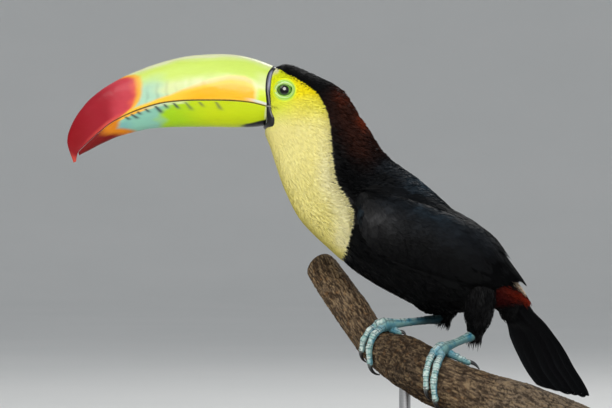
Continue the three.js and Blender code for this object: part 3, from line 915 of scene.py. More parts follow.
def makeFootSkin(leg):  # shank and toes in one, with overlapping scales along their upper sides
    limbs = [(*shankLine(leg), foot["plateShank"])]
    limbs += [(*toeLine(leg, toe), foot["plateToe"]) for toe in leg["toes"]]
    shells = [rounded(points, radii, 60, 28) for points, radii, _ in limbs]
    spots, normals, quads = meltTogether(shells, foot["voxel"], foot["soften"])
    way, plate, upper = footPlaces(leg, limbs, spots)
    count = way / plate
    count += 0.3 * np.sin(fullTurn * count / 3 + plate) + 0.09 * cloud(spots, 2.6, 31)  # uneven scales
    number, phase = np.floor(count), count % 1
    groove, top = bell(np.minimum(phase, 1 - phase), 0, 0.1), ease(-0.15, 0.35, upper)
    rim = bell(upper, 0.1, 0.13)
    relief = foot["plateHeight"] * (phase**1.5 - 0.4) * top
    relief -= foot["grooveDepth"] * groove * top + foot["rimDepth"] * rim
    relief += foot["soleHeight"] * (1 - top) * cloud(spots, 0.9, 32)
    odd = cloud(np.stack([number * 3.7, plate * 5, number * 0], -1), 1.0, 34)  # one value for each scale
    # pale scales kept to their upper sides: partly each scale's own tone, partly painted highlight
    light = clamped(0.45 + 0.45 * odd + 0.6 * cloud(spots, 1.3, 33)) * ease(-0.3, 0.6, upper)
    split = bell(upper, 0.7 + 0.12 * odd, 0.08) * ease(-0.3, 0.2, odd)  # some scales are in two
    lines = np.maximum(groove * ease(-0.5, 0.1, upper), np.maximum(0.7 * rim, 0.75 * split))
    tints = painted(footColours["aqua"], footColours, [
        ("pale", light),
        ("blue", clamped(0.25 + 0.9 * cloud(spots, 3.5, 35)) * ease(0.9, 0.2, upper)),
        ("blue", 0.55 * ease(9, 3, way) * (plate < 3)),  # bluer by the pad, as painted shade
        ("groove", clamped(lines * 0.85)),
        ("shade", 0.7 * ease(0.1, -0.8, upper)),
        # painted shadow over the upper shank, under the body
        ("shankShadow", 0.85 * ease(*leg["shankShadow"], spots[:, 0])),
    ])
    return spots + normals * relief[:, None], tints, quads


# skin: the body under its coat, with the bare ring and lids round each eye

skinNodes = ("head", "neck", "trunk", "wing", "thigh", "shank", "toe")
coatDepth = [(0, 0.5), (1.5, 0.9), (3, 1.5), (5, 2.3), (8, 3.0), (10.8, 3.0), (11.4, 4.2), (12.2, 5.5)]
loresEdge = [(277, -107.0), (284, -107.7), (289, -108.2)]  # z, x: black between the band and the lower bill
eyeBox = np.array(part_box("eye_right")) / mm
eyeMiddle = eyeBox.mean(0)
eyeRadius = (eyeBox[1] - eyeBox[0]).max() / 2
lids = {
    "long": 5.1, "tall": 3.9,  # half the opening
    "corner": 0.4, "cornerTurn": 0.3, "cornerWidth": 0.22,  # how the rear corner is drawn out
    "bareRadius": 8.6,
    "margin": 0.45,  # how far the lid's rim stands off the eyeball
    "swell": 0.12,
    "folds": 2.7, "foldHeight": 0.16,
    "sunk": 0.25,  # how far the bare skin's edge lies under the feathers
}
orbitColours = {
    "rim": tone("10180C"), "pale": tone("E2F0C4"), "green": tone("9CD044"), "deep": tone("84BA14"),
}


def lidOpening(turn):
    wide, tall = np.cos(turn) / lids["long"], np.sin(turn) / lids["tall"]
    off = (turn - lids["cornerTurn"] + math.pi) % fullTurn - math.pi
    return 1 / np.hypot(wide, tall) + lids["corner"] * bell(off, 0, lids["cornerWidth"])


def fromEye(spots):  # distance from the eye's middle as seen from the side
    return np.hypot(spots[..., 0] - eyeMiddle[0], spots[..., 2] - eyeMiddle[2])


def makeBodySkin():
    rows = np.concatenate([np.linspace(-0.1, 2.4, 52), np.linspace(2.5, bodyEnd + 0.1, 100)])
    row, turn = grid(rows, circle(168))
    spots = bodyPoint(row, turn, -along(coatDepth, row))
    socket = ease(lids["long"] + 1.6, lids["long"] - 0.4, fromEye(spots)) * (np.abs(spots[..., 1]) > 8)
    spots[..., 1] *= 1 - 0.35 * socket
    x, z = spots[..., 0], spots[..., 2]
    lores = ease(-0.5, 0.1, along(loresEdge, z) - x) * within(z, 275.4, 276.2, 289.0, 289.6)
    shaded = markings(row - 0.08, turn * 1.015) * 0.8  # a little ahead of the feathers' own edges
    return spots, mixed(shaded, plumage["black"], lores)


def makeOrbit(side):  # bare skin and lids round one eye, as rings that spread from the opening
    shares = np.concatenate([[-0.1, -0.05, -0.02, 0.0, 0.02, 0.045, 0.075], np.linspace(0.11, 1, 34)])
    share, turn = grid(shares, circle(144))
    opening = lidOpening(turn)
    radius = opening + share * (lids["bareRadius"] - opening)
    x, z = eyeMiddle[0] + radius * np.cos(turn), eyeMiddle[2] + radius * np.sin(turn)
    ball = eyeMiddle[1] + np.sqrt(np.maximum(eyeRadius**2 - radius**2, 0))
    rowAt, turnAt = bodyPlace(x, z)
    face = bodyPoint(rowAt, turnAt, -lids["sunk"])[..., 1]
    rim = ball + lids["margin"] * ease(-0.06, 0.03, share) - 0.5 * ease(0, -0.1, share)
    y = rim + (face - rim) * ease(0.02, 0.5, share) + lids["swell"] * within(share, 0.03, 0.12, 0.15, 0.45)
    stagger = 0.1 * np.sin(3 * turn + 1) + 0.06 * np.sin(7 * turn)
    wave = np.cos(fullTurn * (np.maximum(share, 0) ** 0.85 * lids["folds"] + stagger))
    wrinkle = cloud(np.stack([turn * 7, share * 9, side + 0 * turn], -1), 1.0, 61)
    y = y + lids["foldHeight"] * (wave + 0.5 * wrinkle) * within(share, 0.05, 0.2, 0.7, 1)
    low = ease(-0.2, -0.9, np.sin(turn)) * 0.5 + ease(0.2, 0.9, np.cos(turn)) * 0.5
    lines = clamped(0.5 + 0.6 * wave + 0.3 * wrinkle) ** 2
    tints = painted(orbitColours["green"], orbitColours, [
        ("deep", low * ease(0.2, 0.6, share)),
        ("pale", (0.12 + 0.8 * lines) * ease(0.85, 0.35, share) * (1 - 0.5 * low)),
    ])
    tints = mixed(tints, markings(rowAt, turnAt), ease(0.5, 0.95, share) * (1 - 0.35 * low))
    return np.stack([x, y * side, z], -1), mixed(orbitColours["rim"], tints, ease(0.0, 0.06, share))


def makeWingSkin(side):  # under the coverts, thinner at the wrist and below the quills
    share, place = grid(np.linspace(*wingForm["skinShares"], 40), np.linspace(*wingForm["skinPlaces"], 24))
    sunk = wingForm["coat"] + 1.6 * ease(0.16, 0.02, share) + 1.4 * ease(0.55, 0.84, share)
    outside = wingPoint(side, share, place, -sunk)
    inside = bodyPoint(wingRow(share), wingTurn(side, share, place), -wingForm["slack"])
    return np.concatenate([outside, inside[:, ::-1]], 1)


def blackened(shell):  # a shell with its colours, all black
    return shell, np.broadcast_to(plumage["black"], shell.shape)


def makeSkin():
    shells = [(*makeBodySkin(), True)]
    for side in (-1, 1):
        shells.append((*makeOrbit(side), False))
        shells.append((*blackened(makeWingSkin(side)), True))
    for leg in legs.values():
        thigh = limbPoint(leg["thigh"], thighRadii, np.linspace(0, 1, 30)[:, None], circle(40), -1.4)
        shells.append((*blackened(thigh), True))
    points, tints, faces, first = [], [], [], 0
    for shell, colours, closed in shells:
        points.append(shell.reshape(-1, 3))
        tints.append(colours.reshape(-1, 3))
        faces += capped(shell, first) if closed else gridFaces(*shell.shape[:2], first=first).tolist()
        first += len(points[-1])
    for leg in legs.values():
        spots, colours, quads = makeFootSkin(leg)
        points.append(spots)
        tints.append(colours)
        faces += [[corner + first for corner in quad] for quad in quads]
        first += len(spots)
    skin = build("skin", np.concatenate(points), faces, finishes["birdSkin"], tints=np.concatenate(tints),
                 finish="yellow_plumage")
    flesh = [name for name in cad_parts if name.split("_")[0] in skinNodes]
    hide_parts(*flesh)


print("skin")
makeSkin()


# eyes

eyeForm = {
    "pupil": 0.45, "iris": 0.80,  # shares of the eye's radius
    "flat": 0.5,  # how much flatter the cornea is than the ball
    "upward": 0.095,  # how far the cornea is turned up to the light
    "pole": 0.015,  # the turn left open at each pole
    "arcs": [(0.56, 0.035, 1.0), (0.68, 0.03, 0.7)],  # light rings in the iris: radius, width, strength
    "arcTurn": 0.45,  # the turn at which they are lightest
}
eyeColours = {
    "pupil": tone("010202"), "inner": tone("173010"), "outer": tone("2C5418"), "arc": tone("8CCB40"),
    "white": tone("080C06"),
}


def makeEyeFinish():
    material, tree, shader = newMaterial(
        "eyeball", Roughness=0.3, Specular_IOR_Level=0.05,
        Coat_Weight=1.0, Coat_Roughness=0.02, Coat_IOR=1.45,
    )
    spot = addNode(tree, "UVMap", uv_map="EyeMap").outputs[0]
    outward, turn, _ = addNode(tree, "SeparateXYZ", {0: spot}).outputs
    feeds = {0: sums(tree, "MULTIPLY", turn, 60.0), 1: sums(tree, "MULTIPLY", outward, 4.0)}
    noise = noiseAt(tree, addNode(tree, "CombineXYZ", feeds).outputs[0], 1.0, 3.0)
    wire(tree, shader, Base_Color=tinted(tree, sums(tree, "MULTIPLY_ADD", noise, 0.9, 0.55)))
    return material


def makeEye(side, name, node, material):
    angle, turn = grid(np.linspace(eyeForm["pole"], math.pi - eyeForm["pole"], 72), circle(96))
    off, front = np.sin(angle), np.cos(angle) > 0
    cornea = eyeForm["flat"] * (1 - np.cos(angle)) - eyeForm["upward"] * off * np.sin(turn)
    cornea = cornea * ease(0.75, 0.5, off) * front
    spots = np.stack([off * np.cos(turn), np.cos(angle) + cornea, off * np.sin(turn)], -1)
    spots = (eyeMiddle + eyeRadius * spots) * np.array([1, side, 1])
    ring = np.where(front, off, 1)
    arcs = sum(strength * bell(ring, radius, width) for radius, width, strength in eyeForm["arcs"])
    light = 0.25 + 0.75 * ease(0.1, 0.9, np.cos(turn - eyeForm["arcTurn"]))
    tints = painted(eyeColours["inner"], eyeColours, [
        ("outer", ease(0.45, 0.75, ring)),
        ("arc", np.clip(arcs * light, 0, 0.8)),
    ])
    tints = mixed(eyeColours["pupil"], tints, ease(eyeForm["pupil"] - 0.02, eyeForm["pupil"] + 0.03, ring))
    tints = mixed(tints, eyeColours["white"], ease(eyeForm["iris"] - 0.06, eyeForm["iris"] + 0.02, ring))
    maps = [("EyeMap", np.stack([ring, turn / fullTurn], -1))]
    eye = build(name, spots, capped(spots), material, maps, tints, "eye")
    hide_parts(node)


print("eyes")
eyeMaterial = makeEyeFinish()
makeEye(-1, "eyeLeft", "eye_left", eyeMaterial)
makeEye(1, "eyeRight", "eye_right", eyeMaterial)


# bill

billStations = [  # the ridge's x and z, the gape's x and z, the lower edge's x and z, half the width
    [-105.7, 318.0, -109.3, 289.0, -110.9, 276.0, 14.4],  # against the face
    [-119.0, 322.8, -121.1, 291.9, -121.1, 275.0, 14.6],
    [-133.0, 325.6, -135.1, 293.2, -135.1, 274.9, 14.4],
    [-150.5, 326.0, -151.9, 293.5, -150.5, 275.2, 13.7],
    [-168.0, 324.3, -168.0, 293.2, -166.6, 275.1, 12.7],
    [-185.5, 319.9, -183.4, 291.5, -182.0, 274.6, 11.4],
    [-200.9, 314.3, -198.1, 287.4, -194.6, 273.4, 9.9],
    [-215.6, 307.3, -210.0, 282.5, -205.8, 270.7, 8.3],
    [-228.2, 299.3, -219.8, 277.2, -217.0, 267.2, 6.7],
    [-238.7, 289.1, -228.9, 269.9, -226.8, 262.7, 5.1],
    [-246.4, 277.2, -236.6, 262.9, -235.2, 258.4, 3.5],
    [-249.7, 264.6, -241.9, 257.3, -241.2, 255.1, 2.2],  # the lower half's tip
    [-245.4, 250.2, -243.4, 251.0, -243.3, 250.9, 1.0],  # the hook
]
billForm = {
    "fullness": 0.82,
    "gapeHalf": 0.25,
    "lowerShare": 0.95,  # the lower half's width against the upper's
    "rows": 300,
    "tipRows": 30, "tip": 0.6,  # finer rows over the last stretch
    "around": 104,
    "toothRows": 0.22,  # one notch of the cutting edge
    "toothDepth": {True: 0.15, False: -0.12},  # up in the upper half, down in the lower
    "swell": 0.16,
}
billEnd = len(billStations) - 1
billColours = {
    "cream": tone("DEE3B4"), "lime": tone("CAE266"), "limeEdge": tone("D0E284"), "pale": tone("DCE6A8"),
    "cyan": tone("AED6BA"), "orange": tone("FFB400"), "peach": tone("FFCE84"), "amber": tone("FDC838"),
    "leaf": tone("CBE01A"), "ash": tone("D8DCD4"), "fringe": tone("F0B440"), "coral": tone("DE5A48"),
    "pink": tone("C4404C"), "crimson": tone("9A1A28"), "wine": tone("8A0C16"), "gape": tone("94722A"),
    "lower": tone("C0D200"), "grass": tone("A0CC10"), "aqua": tone("84BCA6"), "teal": tone("6CA2A4"),
    "rust": tone("D07A08"), "blood": tone("720404"), "serrationShade": tone("3C4A48"), "black": tone("0A0A0C"),
}
billMarks = {
    # the cream at the very top of the ridge is partly its pale line and partly painted highlight
    "ridge": [(0.35, "pale"), (0.62, "lime"), (0.84, "lime"), (0.91, "limeEdge"), (0.975, "cream")],
    "flame": [(0.0, "amber"), (0.12, "orange"), (0.58, "orange"), (0.76, "amber"), (0.97, "peach")],
    "tip": [(0.0, "coral"), (0.55, "pink"), (1.9, "crimson"), (4.6, "wine")],  # rows past where red starts
    "flameTop": [  # row, share of the height
        (0.7, 0.36), (1.0, 0.47), (1.38, 0.53), (2.09, 0.52), (2.69, 0.45), (3.3, 0.36), (3.93, 0.25),
        (4.6, 0.13), (5.5, 0.08), (6.3, 0.07), (7.1, 0.04), (8.2, 0.0),
    ],
    "redStart": [  # share of the height, row
        (0.0, 7.25), (0.05, 6.75), (0.12, 6.4), (0.2, 6.22), (0.4, 6.05), (0.64, 6.02), (0.83, 6.1),
        (0.93, 6.3), (1.0, 6.7),
    ],
    "rustStart": [(0, 7.25), (0.2, 7.35), (0.5, 7.55), (0.75, 7.0), (0.9, 6.7), (1, 6.6)],
    "bloodStart": [(0, 8.5), (0.3, 8.5), (0.6, 8.2), (0.8, 7.7), (1, 7.4)],
    "tickRows": (6.89, 6.53, 6.18, 5.75, 5.26, 4.86, 4.43, 3.9, 3.29, 2.62),
}


def billPoint(row, turn, upper, lift=0.0):  # turn 0 to pi runs from the right edge over to the left
    ridgeX, ridgeZ, gapeX, gapeZ, edgeX, edgeZ, half = columns(billStations, row)
    outX, outZ = (ridgeX, ridgeZ) if upper else (edgeX, edgeZ)
    tall = np.hypot(outX - gapeX, outZ - gapeZ)
    gap = np.minimum(0.4, billForm["gapeHalf"] / tall)
    high = gap + (1 - gap + lift / tall) * np.sin(turn)
    wide = half * (1 if upper else billForm["lowerShare"]) + lift
    y = wide * power(np.cos(turn), billForm["fullness"])
    return np.stack([gapeX + (outX - gapeX) * high, y, gapeZ + (outZ - gapeZ) * high], -1)


def layered(stops, at):  # a run of (place, colour name), smooth between them
    layers = [(name, ease(low, high, at)) for (low, _), (high, name) in zip(stops, stops[1:])]
    first = np.broadcast_to(billColours[stops[0][1]], (*np.shape(at), 3))
    return painted(first, billColours, layers)


def paintUpper(row, high, spots):
    drift = cloud(spots * np.array([0.35, 1, 1]), 4.0, 5)
    bars = np.cos(fullTurn * (row * 2.3 + 0.35 * high + 0.2 * drift))
    bars = bars * ease(4.0, 4.8, row) * ease(0.6, 0.3, high)
    colour = painted(layered(billMarks["ridge"], high + 0.03 * drift), billColours, [
        ("pale", 0.8 * ease(1.1, 0.2, row) * within(high, 0.3, 0.5, 0.62, 0.8)),
        ("cyan", ease(4.5, 5.6, row + 0.4 * drift) * ease(0.85, 0.4, high)),
    ])
    colour = colour * (1 - 0.2 * clamped(bars * (0.6 + 0.6 * drift)))[..., None]
    colour = mixed(colour, billColours["leaf"], ease(0.95, 0.45, row) * ease(0.42, 0.3, high))
    top = along(billMarks["flameTop"], row) + 0.012 * drift
    flame = layered(billMarks["flame"], high / np.maximum(top, 0.01))
    flame = mixed(flame, billColours["amber"], ease(3.2, 4.6, row))
    rear = ease(0.62, 0.95, row - 0.9 * np.maximum(high - 0.3, 0))
    colour = mixed(colour, flame, ease(0.055, -0.035, high - top) * rear)
    red = row - along(billMarks["redStart"], high) + 0.04 * drift
    strip = ease(1.5, 0.5, row) * ease(0.0, 0.03, high) * ease(0.09, 0.055, high - 0.01 * row)
    colour = painted(colour, billColours, [("ash", strip), ("fringe", ease(-0.34, -0.08, red))])
    tip = layered(billMarks["tip"], red + 0.2 * drift)
    tip = mixed(tip, billColours["coral"], 0.5 * ease(0.14, 0.03, high) * ease(11, 8, row))
    colour = mixed(colour, tip, ease(-0.12, 0.22, red))
    return painted(colour, billColours, [
        ("coral", 0.6 * ease(11.3, 11.9, row)),
        ("gape", 0.85 * ease(0.035, 0.0, high) * ease(9, 6, row)),
    ])


def tickShare(tickRow, row, deep, drift):  # one dark stroke that slants down from the cutting edge, painted shade of its serrations
    lean = row - tickRow + 0.75 * (deep - 0.06) + 0.04 * drift
    end = 0.38 + 0.1 * math.sin(5 * tickRow)
    strength = 0.95 if tickRow > 4 else 0.65
    return strength * within(deep, 0.02, 0.07, end - 0.18, end) * bell(lean, 0, 0.05 + 0.2 * deep)


def paintLower(row, deep, spots):
    drift = cloud(spots * np.array([0.4, 1, 1]), 4.0, 6)
    front = row - 5.15 + 0.5 * ease(0.5, 0, deep) + 0.25 * drift
    lip = ease(0.1, 0.045, deep - 0.008 * row)
    return painted(billColours["lower"], billColours, [
        ("grass", ease(2.8, 4.9, row + 0.4 * deep + 0.15 * drift)),
        ("cream", 0.7 * ease(0.16, 0.1, row) * ease(0.8, 0.5, deep)),
        ("aqua", ease(-0.35, 0.3, front)),
        ("teal", 0.7 * ease(6.4, 7.2, row) * ease(0.2, 0.4, deep)),
        ("cream", 0.6 * lip * within(row, 3.6, 4.2, 5.4, 6.2)),
        ("fringe", lip * ease(5.2, 6.2, row)),
        # painted shade of the serrations, as slanting dark strokes
        *[("serrationShade", tickShare(tickRow, row, deep, drift)) for tickRow in billMarks["tickRows"]],
        ("rust", ease(-0.25, 0.3, row - along(billMarks["rustStart"], deep))),
        ("blood", ease(-0.35, 0.5, row - along(billMarks["bloodStart"], deep))),
        ("black", ease(0.06, -0.02, row * 0.155 + 0.7 - deep + 0.01 * drift) * ease(1.75, 1.2, row)),
    ])


def makeBillFinish():
    material, tree, shader = newMaterial(
        "billKeratin", Specular_IOR_Level=0.18, Coat_Weight=0.14, Coat_Roughness=0.16,
        Subsurface_Weight=0.06, Subsurface_Scale=0.002,
    )
    mottle = useGroup(tree, mottleGroup, Size=260.0, Depth=0.1, Stretch=(0.25, 1.0, 1.0))
    fine = useGroup(tree, mottleGroup, Size=1500.0, Depth=0.1, Stretch=(0.12, 1.0, 1.0))
    shade = sums(tree, "MULTIPLY", mottle["Shade"], fine["Shade"])
    height = sums(tree, "ADD", mottle["Height"], sums(tree, "MULTIPLY", fine["Height"], 0.4))
    wire(tree, shader, Base_Color=tinted(tree, shade), Normal=raised(tree, height, 0.25, 0.2),
         Roughness=sums(tree, "MULTIPLY_ADD", mottle["Height"], 0.16, 0.26))
    return material


def makeBillHalf(name, node, upper, lastRow, material):
    tip = billForm["tip"]
    rows = np.concatenate([np.linspace(0, lastRow - tip, billForm["rows"]),
                           lastRow - tip * np.linspace(0.97, 0, billForm["tipRows"])])
    arc = np.linspace(0, math.pi, billForm["around"])
    arc = arc - 0.3 * np.sin(2 * arc)  # closer together by the cutting edges
    row, turn = grid(rows, arc)
    rise = np.sin(turn)
    middle = billPoint(row, turn, upper)
    swell = cloud(middle * np.array([0.5, 1, 1]), 7.0, 9) + 0.5 * cloud(middle, 3.0, 10)
    swell = billForm["swell"] * swell * ease(0, 0.5, rise) * ease(lastRow, lastRow - 1, row)
    spots = billPoint(row, turn, upper, swell)
    phase = (row / billForm["toothRows"]) % 1
    notch = (1 - phase) * ease(0.12, 0.02, rise) * within(row, 0.5, 2, 8, 10)
    spots[..., 2] += billForm["toothDepth"][upper] * notch
    high = clamped(rise)
    tints = (paintUpper if upper else paintLower)(row, high, spots)
    maps = [("BillMap", np.stack([row / billEnd, high], -1))]
    half = build(name, spots, capped(spots), material, maps, tints, "bill")
    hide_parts(node)


print("bill")
billMaterial = makeBillFinish()
makeBillHalf("billUpper", "bill_upper", True, billEnd, billMaterial)
makeBillHalf("billLower", "bill_lower", False, billEnd - 1, billMaterial)


# the black band round the bill's root

band = {
    "path": [  # x and z from the crown, down the cheek, to the chin
        (-104.6, 316.8), (-105.2, 316.1), (-107.3, 312.8), (-108.3, 309.3), (-108.9, 304.6),
        (-109.1, 300), (-108.8, 296.5), (-108.3, 291.9), (-108.1, 288.4), (-107.7, 283.7),
        (-107.0, 280.0), (-107.0, 277.4), (-109.0, 276.2), (-111.2, 275.3),
    ],
    "half": [(0, 1.1), (1, 1.7), (2, 1.8), (4, 1.9), (7, 1.8), (8, 2.0), (9, 2.4), (10, 2.8), (11, 2.9),
             (12, 2.0), (13, 1.3)],  # point of the path, half the band's width there
    "steps": 190, "around": 19,
    "stand": 1.0,  # how far it stands off the face
    "arch": 0.62 * math.pi,  # half the turn of its rounded section
    "chinRow": -0.05,
    "gapeZ": 289.3, "notch": 0.35,  # where the gape crosses it, and how much lower it is there
    # the lavender grey on the next line is a painted highlight, and the pale grey a painted glint along the
    # gape's seam
    "colour": tone("08080A"), "paintedGloss": tone("9496AE"), "seam": tone("B9B6AA"),
}


def makeBand():
    end = len(band["path"]) - 1
    places = np.linspace(0, end, band["steps"])
    x, z = columns(band["path"], places)
    row, turn = bodyPlace(x, z)
    under = ease(end - 0.8, end, places)
    turn = turn * ease(0, 0.8, places) * (1 - under) + math.pi * under
    row = row * (1 - under) + band["chinRow"] * under
    middle = bodyPoint(row, turn)
    path = unit(np.gradient(middle, axis=0))
    across = unit(np.cross(path, unit(middle - bodyPoint(row, turn, -3.0))))
    outward = np.cross(across, path)
    bulge = np.linspace(-band["arch"], band["arch"], band["around"])[None, :, None]
    half = along(band["half"], places)[:, None, None]
    seam = (bell(z, band["gapeZ"], 0.32) * ease(6, 7, places))[:, None, None]
    stand = band["stand"] * (0.35 + 0.65 * ease(0, 2, places))[:, None, None] * (1 - band["notch"] * seam)
    near = middle[:, None] + across[:, None] * half * np.sin(bulge)
    near = near + outward[:, None] * stand * (np.cos(bulge) + 0.15)
    far = near[::-1] * np.array([1, -1, 1])
    ring = np.concatenate([near, far[1:-1]])
    long, wide = ring.shape[:2]
    faces = gridFaces(long + 1, wide) % (long * wide)
    height = ring[..., 2]
    # painted highlight, off the middle of the band's rounded section and on its upper part
    sheen = np.repeat(bell(bulge[:, :, 0], 0.45, 0.55), long, 0)
    tints = painted(np.broadcast_to(band["colour"], ring.shape), band, [
        ("paintedGloss", 0.9 * sheen * within(height, 297, 306, 312, 315.5)),
        # painted glint along the seam where the gape crosses the band, which also dips there
        ("seam", 0.8 * bell(height, band["gapeZ"], 0.3)),
    ])
    build("billBand", ring, faces, finishes["bandHorn"], tints=tints, finish="bill")


print("band")
makeBand()


# plumage of the head, neck and trunk

plainCoat = {  # a feather's settings, which the tracts change
    "finish": "contourFeather", "slot": "black_plumage",
    "strips": 7, "steps": 5,  # strips of barbs, and steps along each
    "round": 0.3, "ragged": 0.3, "part": 0.45, "root": 0.45,  # its end, where its strips part, its root
    "cup": 0.3, "ruffle": 0.15, "stray": 0.14,
    "shade": 0.3, "fleck": 0.12, "vary": 0.14,  # darker roots, uneven strips, uneven feathers
}
fineCoat = dict(plainCoat, strips=4, steps=4, round=0.25, ragged=0.35, part=0.35, root=0.4)
silkCoat = dict(fineCoat, finish="silkFeather", slot="yellow_plumage")
tracts = {  # row span, roots apart, feathers in a hem along the yellow's edge, how size goes with the row
    "coatFace": dict(
        silkCoat, rows=(0.02, 2.5), apart=(1.25, 1.0), hem=260,
        sizes=[(0, 0.7), (1, 0.8), (2, 1.15), (2.5, 1.5)],
        length=3.4, width=1.5, strips=2, steps=3, round=0.3, ragged=0.3, root=0.5, cup=0.05, ruffle=0.03,
        shade=0.07, fleck=0.02, vary=0.02,
    ),
    "coatBib": dict(
        silkCoat, rows=(2.15, 6.55), apart=(1.9, 1.35), hem=900,
        sizes=[(2.1, 0.6), (3, 0.85), (4.5, 1), (6.4, 1.1)],
        length=7.6, width=2.7, cup=0.1, ruffle=0.07, stray=0.1, shade=0.1, fleck=0.04, vary=0.03,
    ),
    "coatCrown": dict(
        fineCoat, rows=(0, 5.3), apart=(2.3, 1.7),
        sizes=[(0, 0.5), (0.6, 0.65), (2, 0.85), (4, 1.15), (5.3, 1.3)],
        length=7.5, width=3.4, cup=0.12, ruffle=0.14, shade=0.25, fleck=0.16, vary=0.12,
    ),
    "coatBack": dict(
        plainCoat, rows=(4.7, 9.9), apart=(3.9, 3.3),
        sizes=[(4.7, 0.72), (5.6, 0.9), (7, 1), (10, 1.1)],
        length=14, width=7.4, round=0.32, ragged=0.16, part=0.6, cup=0.35, ruffle=0.12, stray=0.1,
    ),
    "coatBelly": dict(
        plainCoat, rows=(4.4, 10.6), apart=(4.0, 3.4),
        sizes=[(4.4, 0.65), (6, 0.9), (10, 1)],
        length=15, width=7.8, ruffle=0.18,
    ),
    "coatVent": dict(
        plainCoat, rows=(9.3, 11.6), apart=(2.6, 2.6),
        sizes=[(9.3, 1.1), (10.4, 0.8), (11.6, 0.9)],
        finish="ventFeather", length=11, width=6.0, strips=6, ragged=0.28, stray=0.12,
        fleck=0.08, vary=0.08,
    ),
}
growth = {
    "hemEnd": 6.2,  # the last row with feathers in a hem along the yellow's edge
    "hemWidth": 0.12,
    "tipEnd": 6.1,  # no tip takes its yellow from past this row
    "edgeGap": 0.03,  # how far black roots stay off the yellow
    "overhang": 0.45,  # rows that a black feather covers ahead of its root
    "eyeGap": 1.2,  # how far feathers reach over the edge of the bare skin
    "bandGap": 0.8,
    "chinZ": 274.5,
    "rowLength": 19,  # millimetres of the body to a row, on average
    "reach": 0.72,  # the part of a feather that shows past the next
    "lowest": -0.15,  # a tip's least lift
    "deepest": 2.4,  # the most that a root is sunk in the coat
}
wingCover = [(5.9, 1.4, 1.5), (6.6, 1.05, 1.85), (7.5, 0.6, 1.85), (8.5, 0.25, 1.65), (9.5, 0.15, 1.4)]
headingFan = [(1.5, 0.0), (2.5, 0.25), (4, 0.5), (6, 0.6), (7, 0.2), (8, 0)]  # row, how feathers splay


def underWing(row, turn):  # true where the folded wing hides the body
    rows, tops, bottoms = zip(*wingCover)
    top, bottom = np.interp(row, rows, tops), np.interp(row, rows, bottoms)
    away = wrapped(turn)
    return (row > rows[0]) & (row < rows[-1]) & (away > top) & (away < bottom)


def bandBack(z):  # the x at which the face begins behind the band
    return along([(z, x + growth["bandGap"]) for x, z in reversed(band["path"])], z)


def clearOfFace(row, turn):  # true off the bare skin round the eye, and off the band
    spots = bodyPoint(row, turn)
    behind = (spots[:, 0] > bandBack(spots[:, 2])) | (spots[:, 2] < growth["chinZ"])
    return (fromEye(spots) > lids["bareRadius"] - growth["eyeGap"]) & behind


def grows(name, row, turn):  # true at the roots that the tract keeps
    away, yellow = wrapped(turn), inBib(row, turn, 0.01) > 0.5
    if name == "coatFace":
        return yellow & clearOfFace(row, turn) & (row < 2.2 + 0.3 * dice.random(len(row)))
    if name == "coatBib":
        return yellow
    if name == "coatVent":
        sides = (away < 0.75) | (away > along([(9.3, 1.5), (9.5, 1.3), (9.7, 0.5)], row))
        return sides & (row < along([(0.0, 10.75), (1.2, 10.7), (1.8, 11.5)], away))
    black = ~yellow & (pastBib(row, turn) < -growth["edgeGap"])
    if name == "coatCrown":
        return black & (row < 4.9 + 0.4 * dice.random(len(row)))
    black &= ~underWing(row, turn)
    if name == "coatBack":
        return black & (away < 1.5) & (row < 9.4)
    return black & (away >= 1.45) & (away < along([(9.2, 4), (9.6, 1.4), (10.6, 1.0)], row))


def sowHem(rows, count):  # more roots, close along the yellow's edge on both sides
    hem = dice.uniform(rows[0], min(rows[1], growth["hemEnd"]), count)
    turn = along(bibEdge, hem) + dice.uniform(0.0, growth["hemWidth"], count)
    return np.stack([hem, turn * dice.choice([-1, 1], count)], -1)


def sizeAt(name, row, turn):
    size = along(tracts[name]["sizes"], row)
    if "hem" in tracts[name]:  # finer along the yellow's edge
        return size * along([(0.0, 0.34), (0.1, 0.5), (0.26, 1)], pastBib(row, turn))
    if name == "coatVent":
        return size
    ahead = row + growth["overhang"]  # short where they would lie over the yellow
    return size * np.where((inBib(ahead, turn * 1.04) > 0.5) | (inBib(ahead, turn) > 0.5), 0.6, 1)


def headingAt(name, row, turn):  # feathers splay down the neck's sides, and the bib's over the black
    away = wrapped(turn)
    heading = -np.sign(turn) * along(headingFan, row) * within(away, 0.1, 0.5, 1.7, 3.0)
    return heading * (along([(0.05, 1.5), (0.4, 1.0)], pastBib(row, turn)) if name == "coatBib" else 1)


def tipsAt(name, row, turn):  # how far each tip stands off
    away, spread = wrapped(turn), 0.1 if "hem" in tracts[name] else 0.2
    tips = growth["lowest"] + spread * dice.random(len(row))
    if name == "coatCrown":  # shaggy nape
        nape = within(row, 2.2, 3.2, 4.4, 5.2) * ease(1.0, 0.3, away)
        tips = tips + 1.7 * dice.random(len(row)) ** 2 * nape
    elif name == "coatBelly":  # long loose feathers between the thighs
        loose = within(row, 8.2, 8.8, 9.7, 10.3) * ease(2.2, 2.8, away)
        tips = tips + 4.2 * loose * dice.uniform(0.7, 1, len(row))
    return tips


def tintsAt(name, row, turn, size, heading):  # tips that cross the yellow's edge keep their side's colour
    stride = growth["reach"] * tracts[name]["length"] * size / growth["rowLength"]
    ahead = row + stride
    toward = wrapped(turn + 0.35 * stride * heading)
    if "hem" in tracts[name]:
        ahead = np.minimum(ahead, growth["tipEnd"])
        toward = np.maximum(toward, along(bibEdge, ahead) + 0.05)
    else:
        toward = np.minimum(toward, along(bibEdge, ahead) - 0.05)
    return markings(ahead, np.sign(turn) * toward)


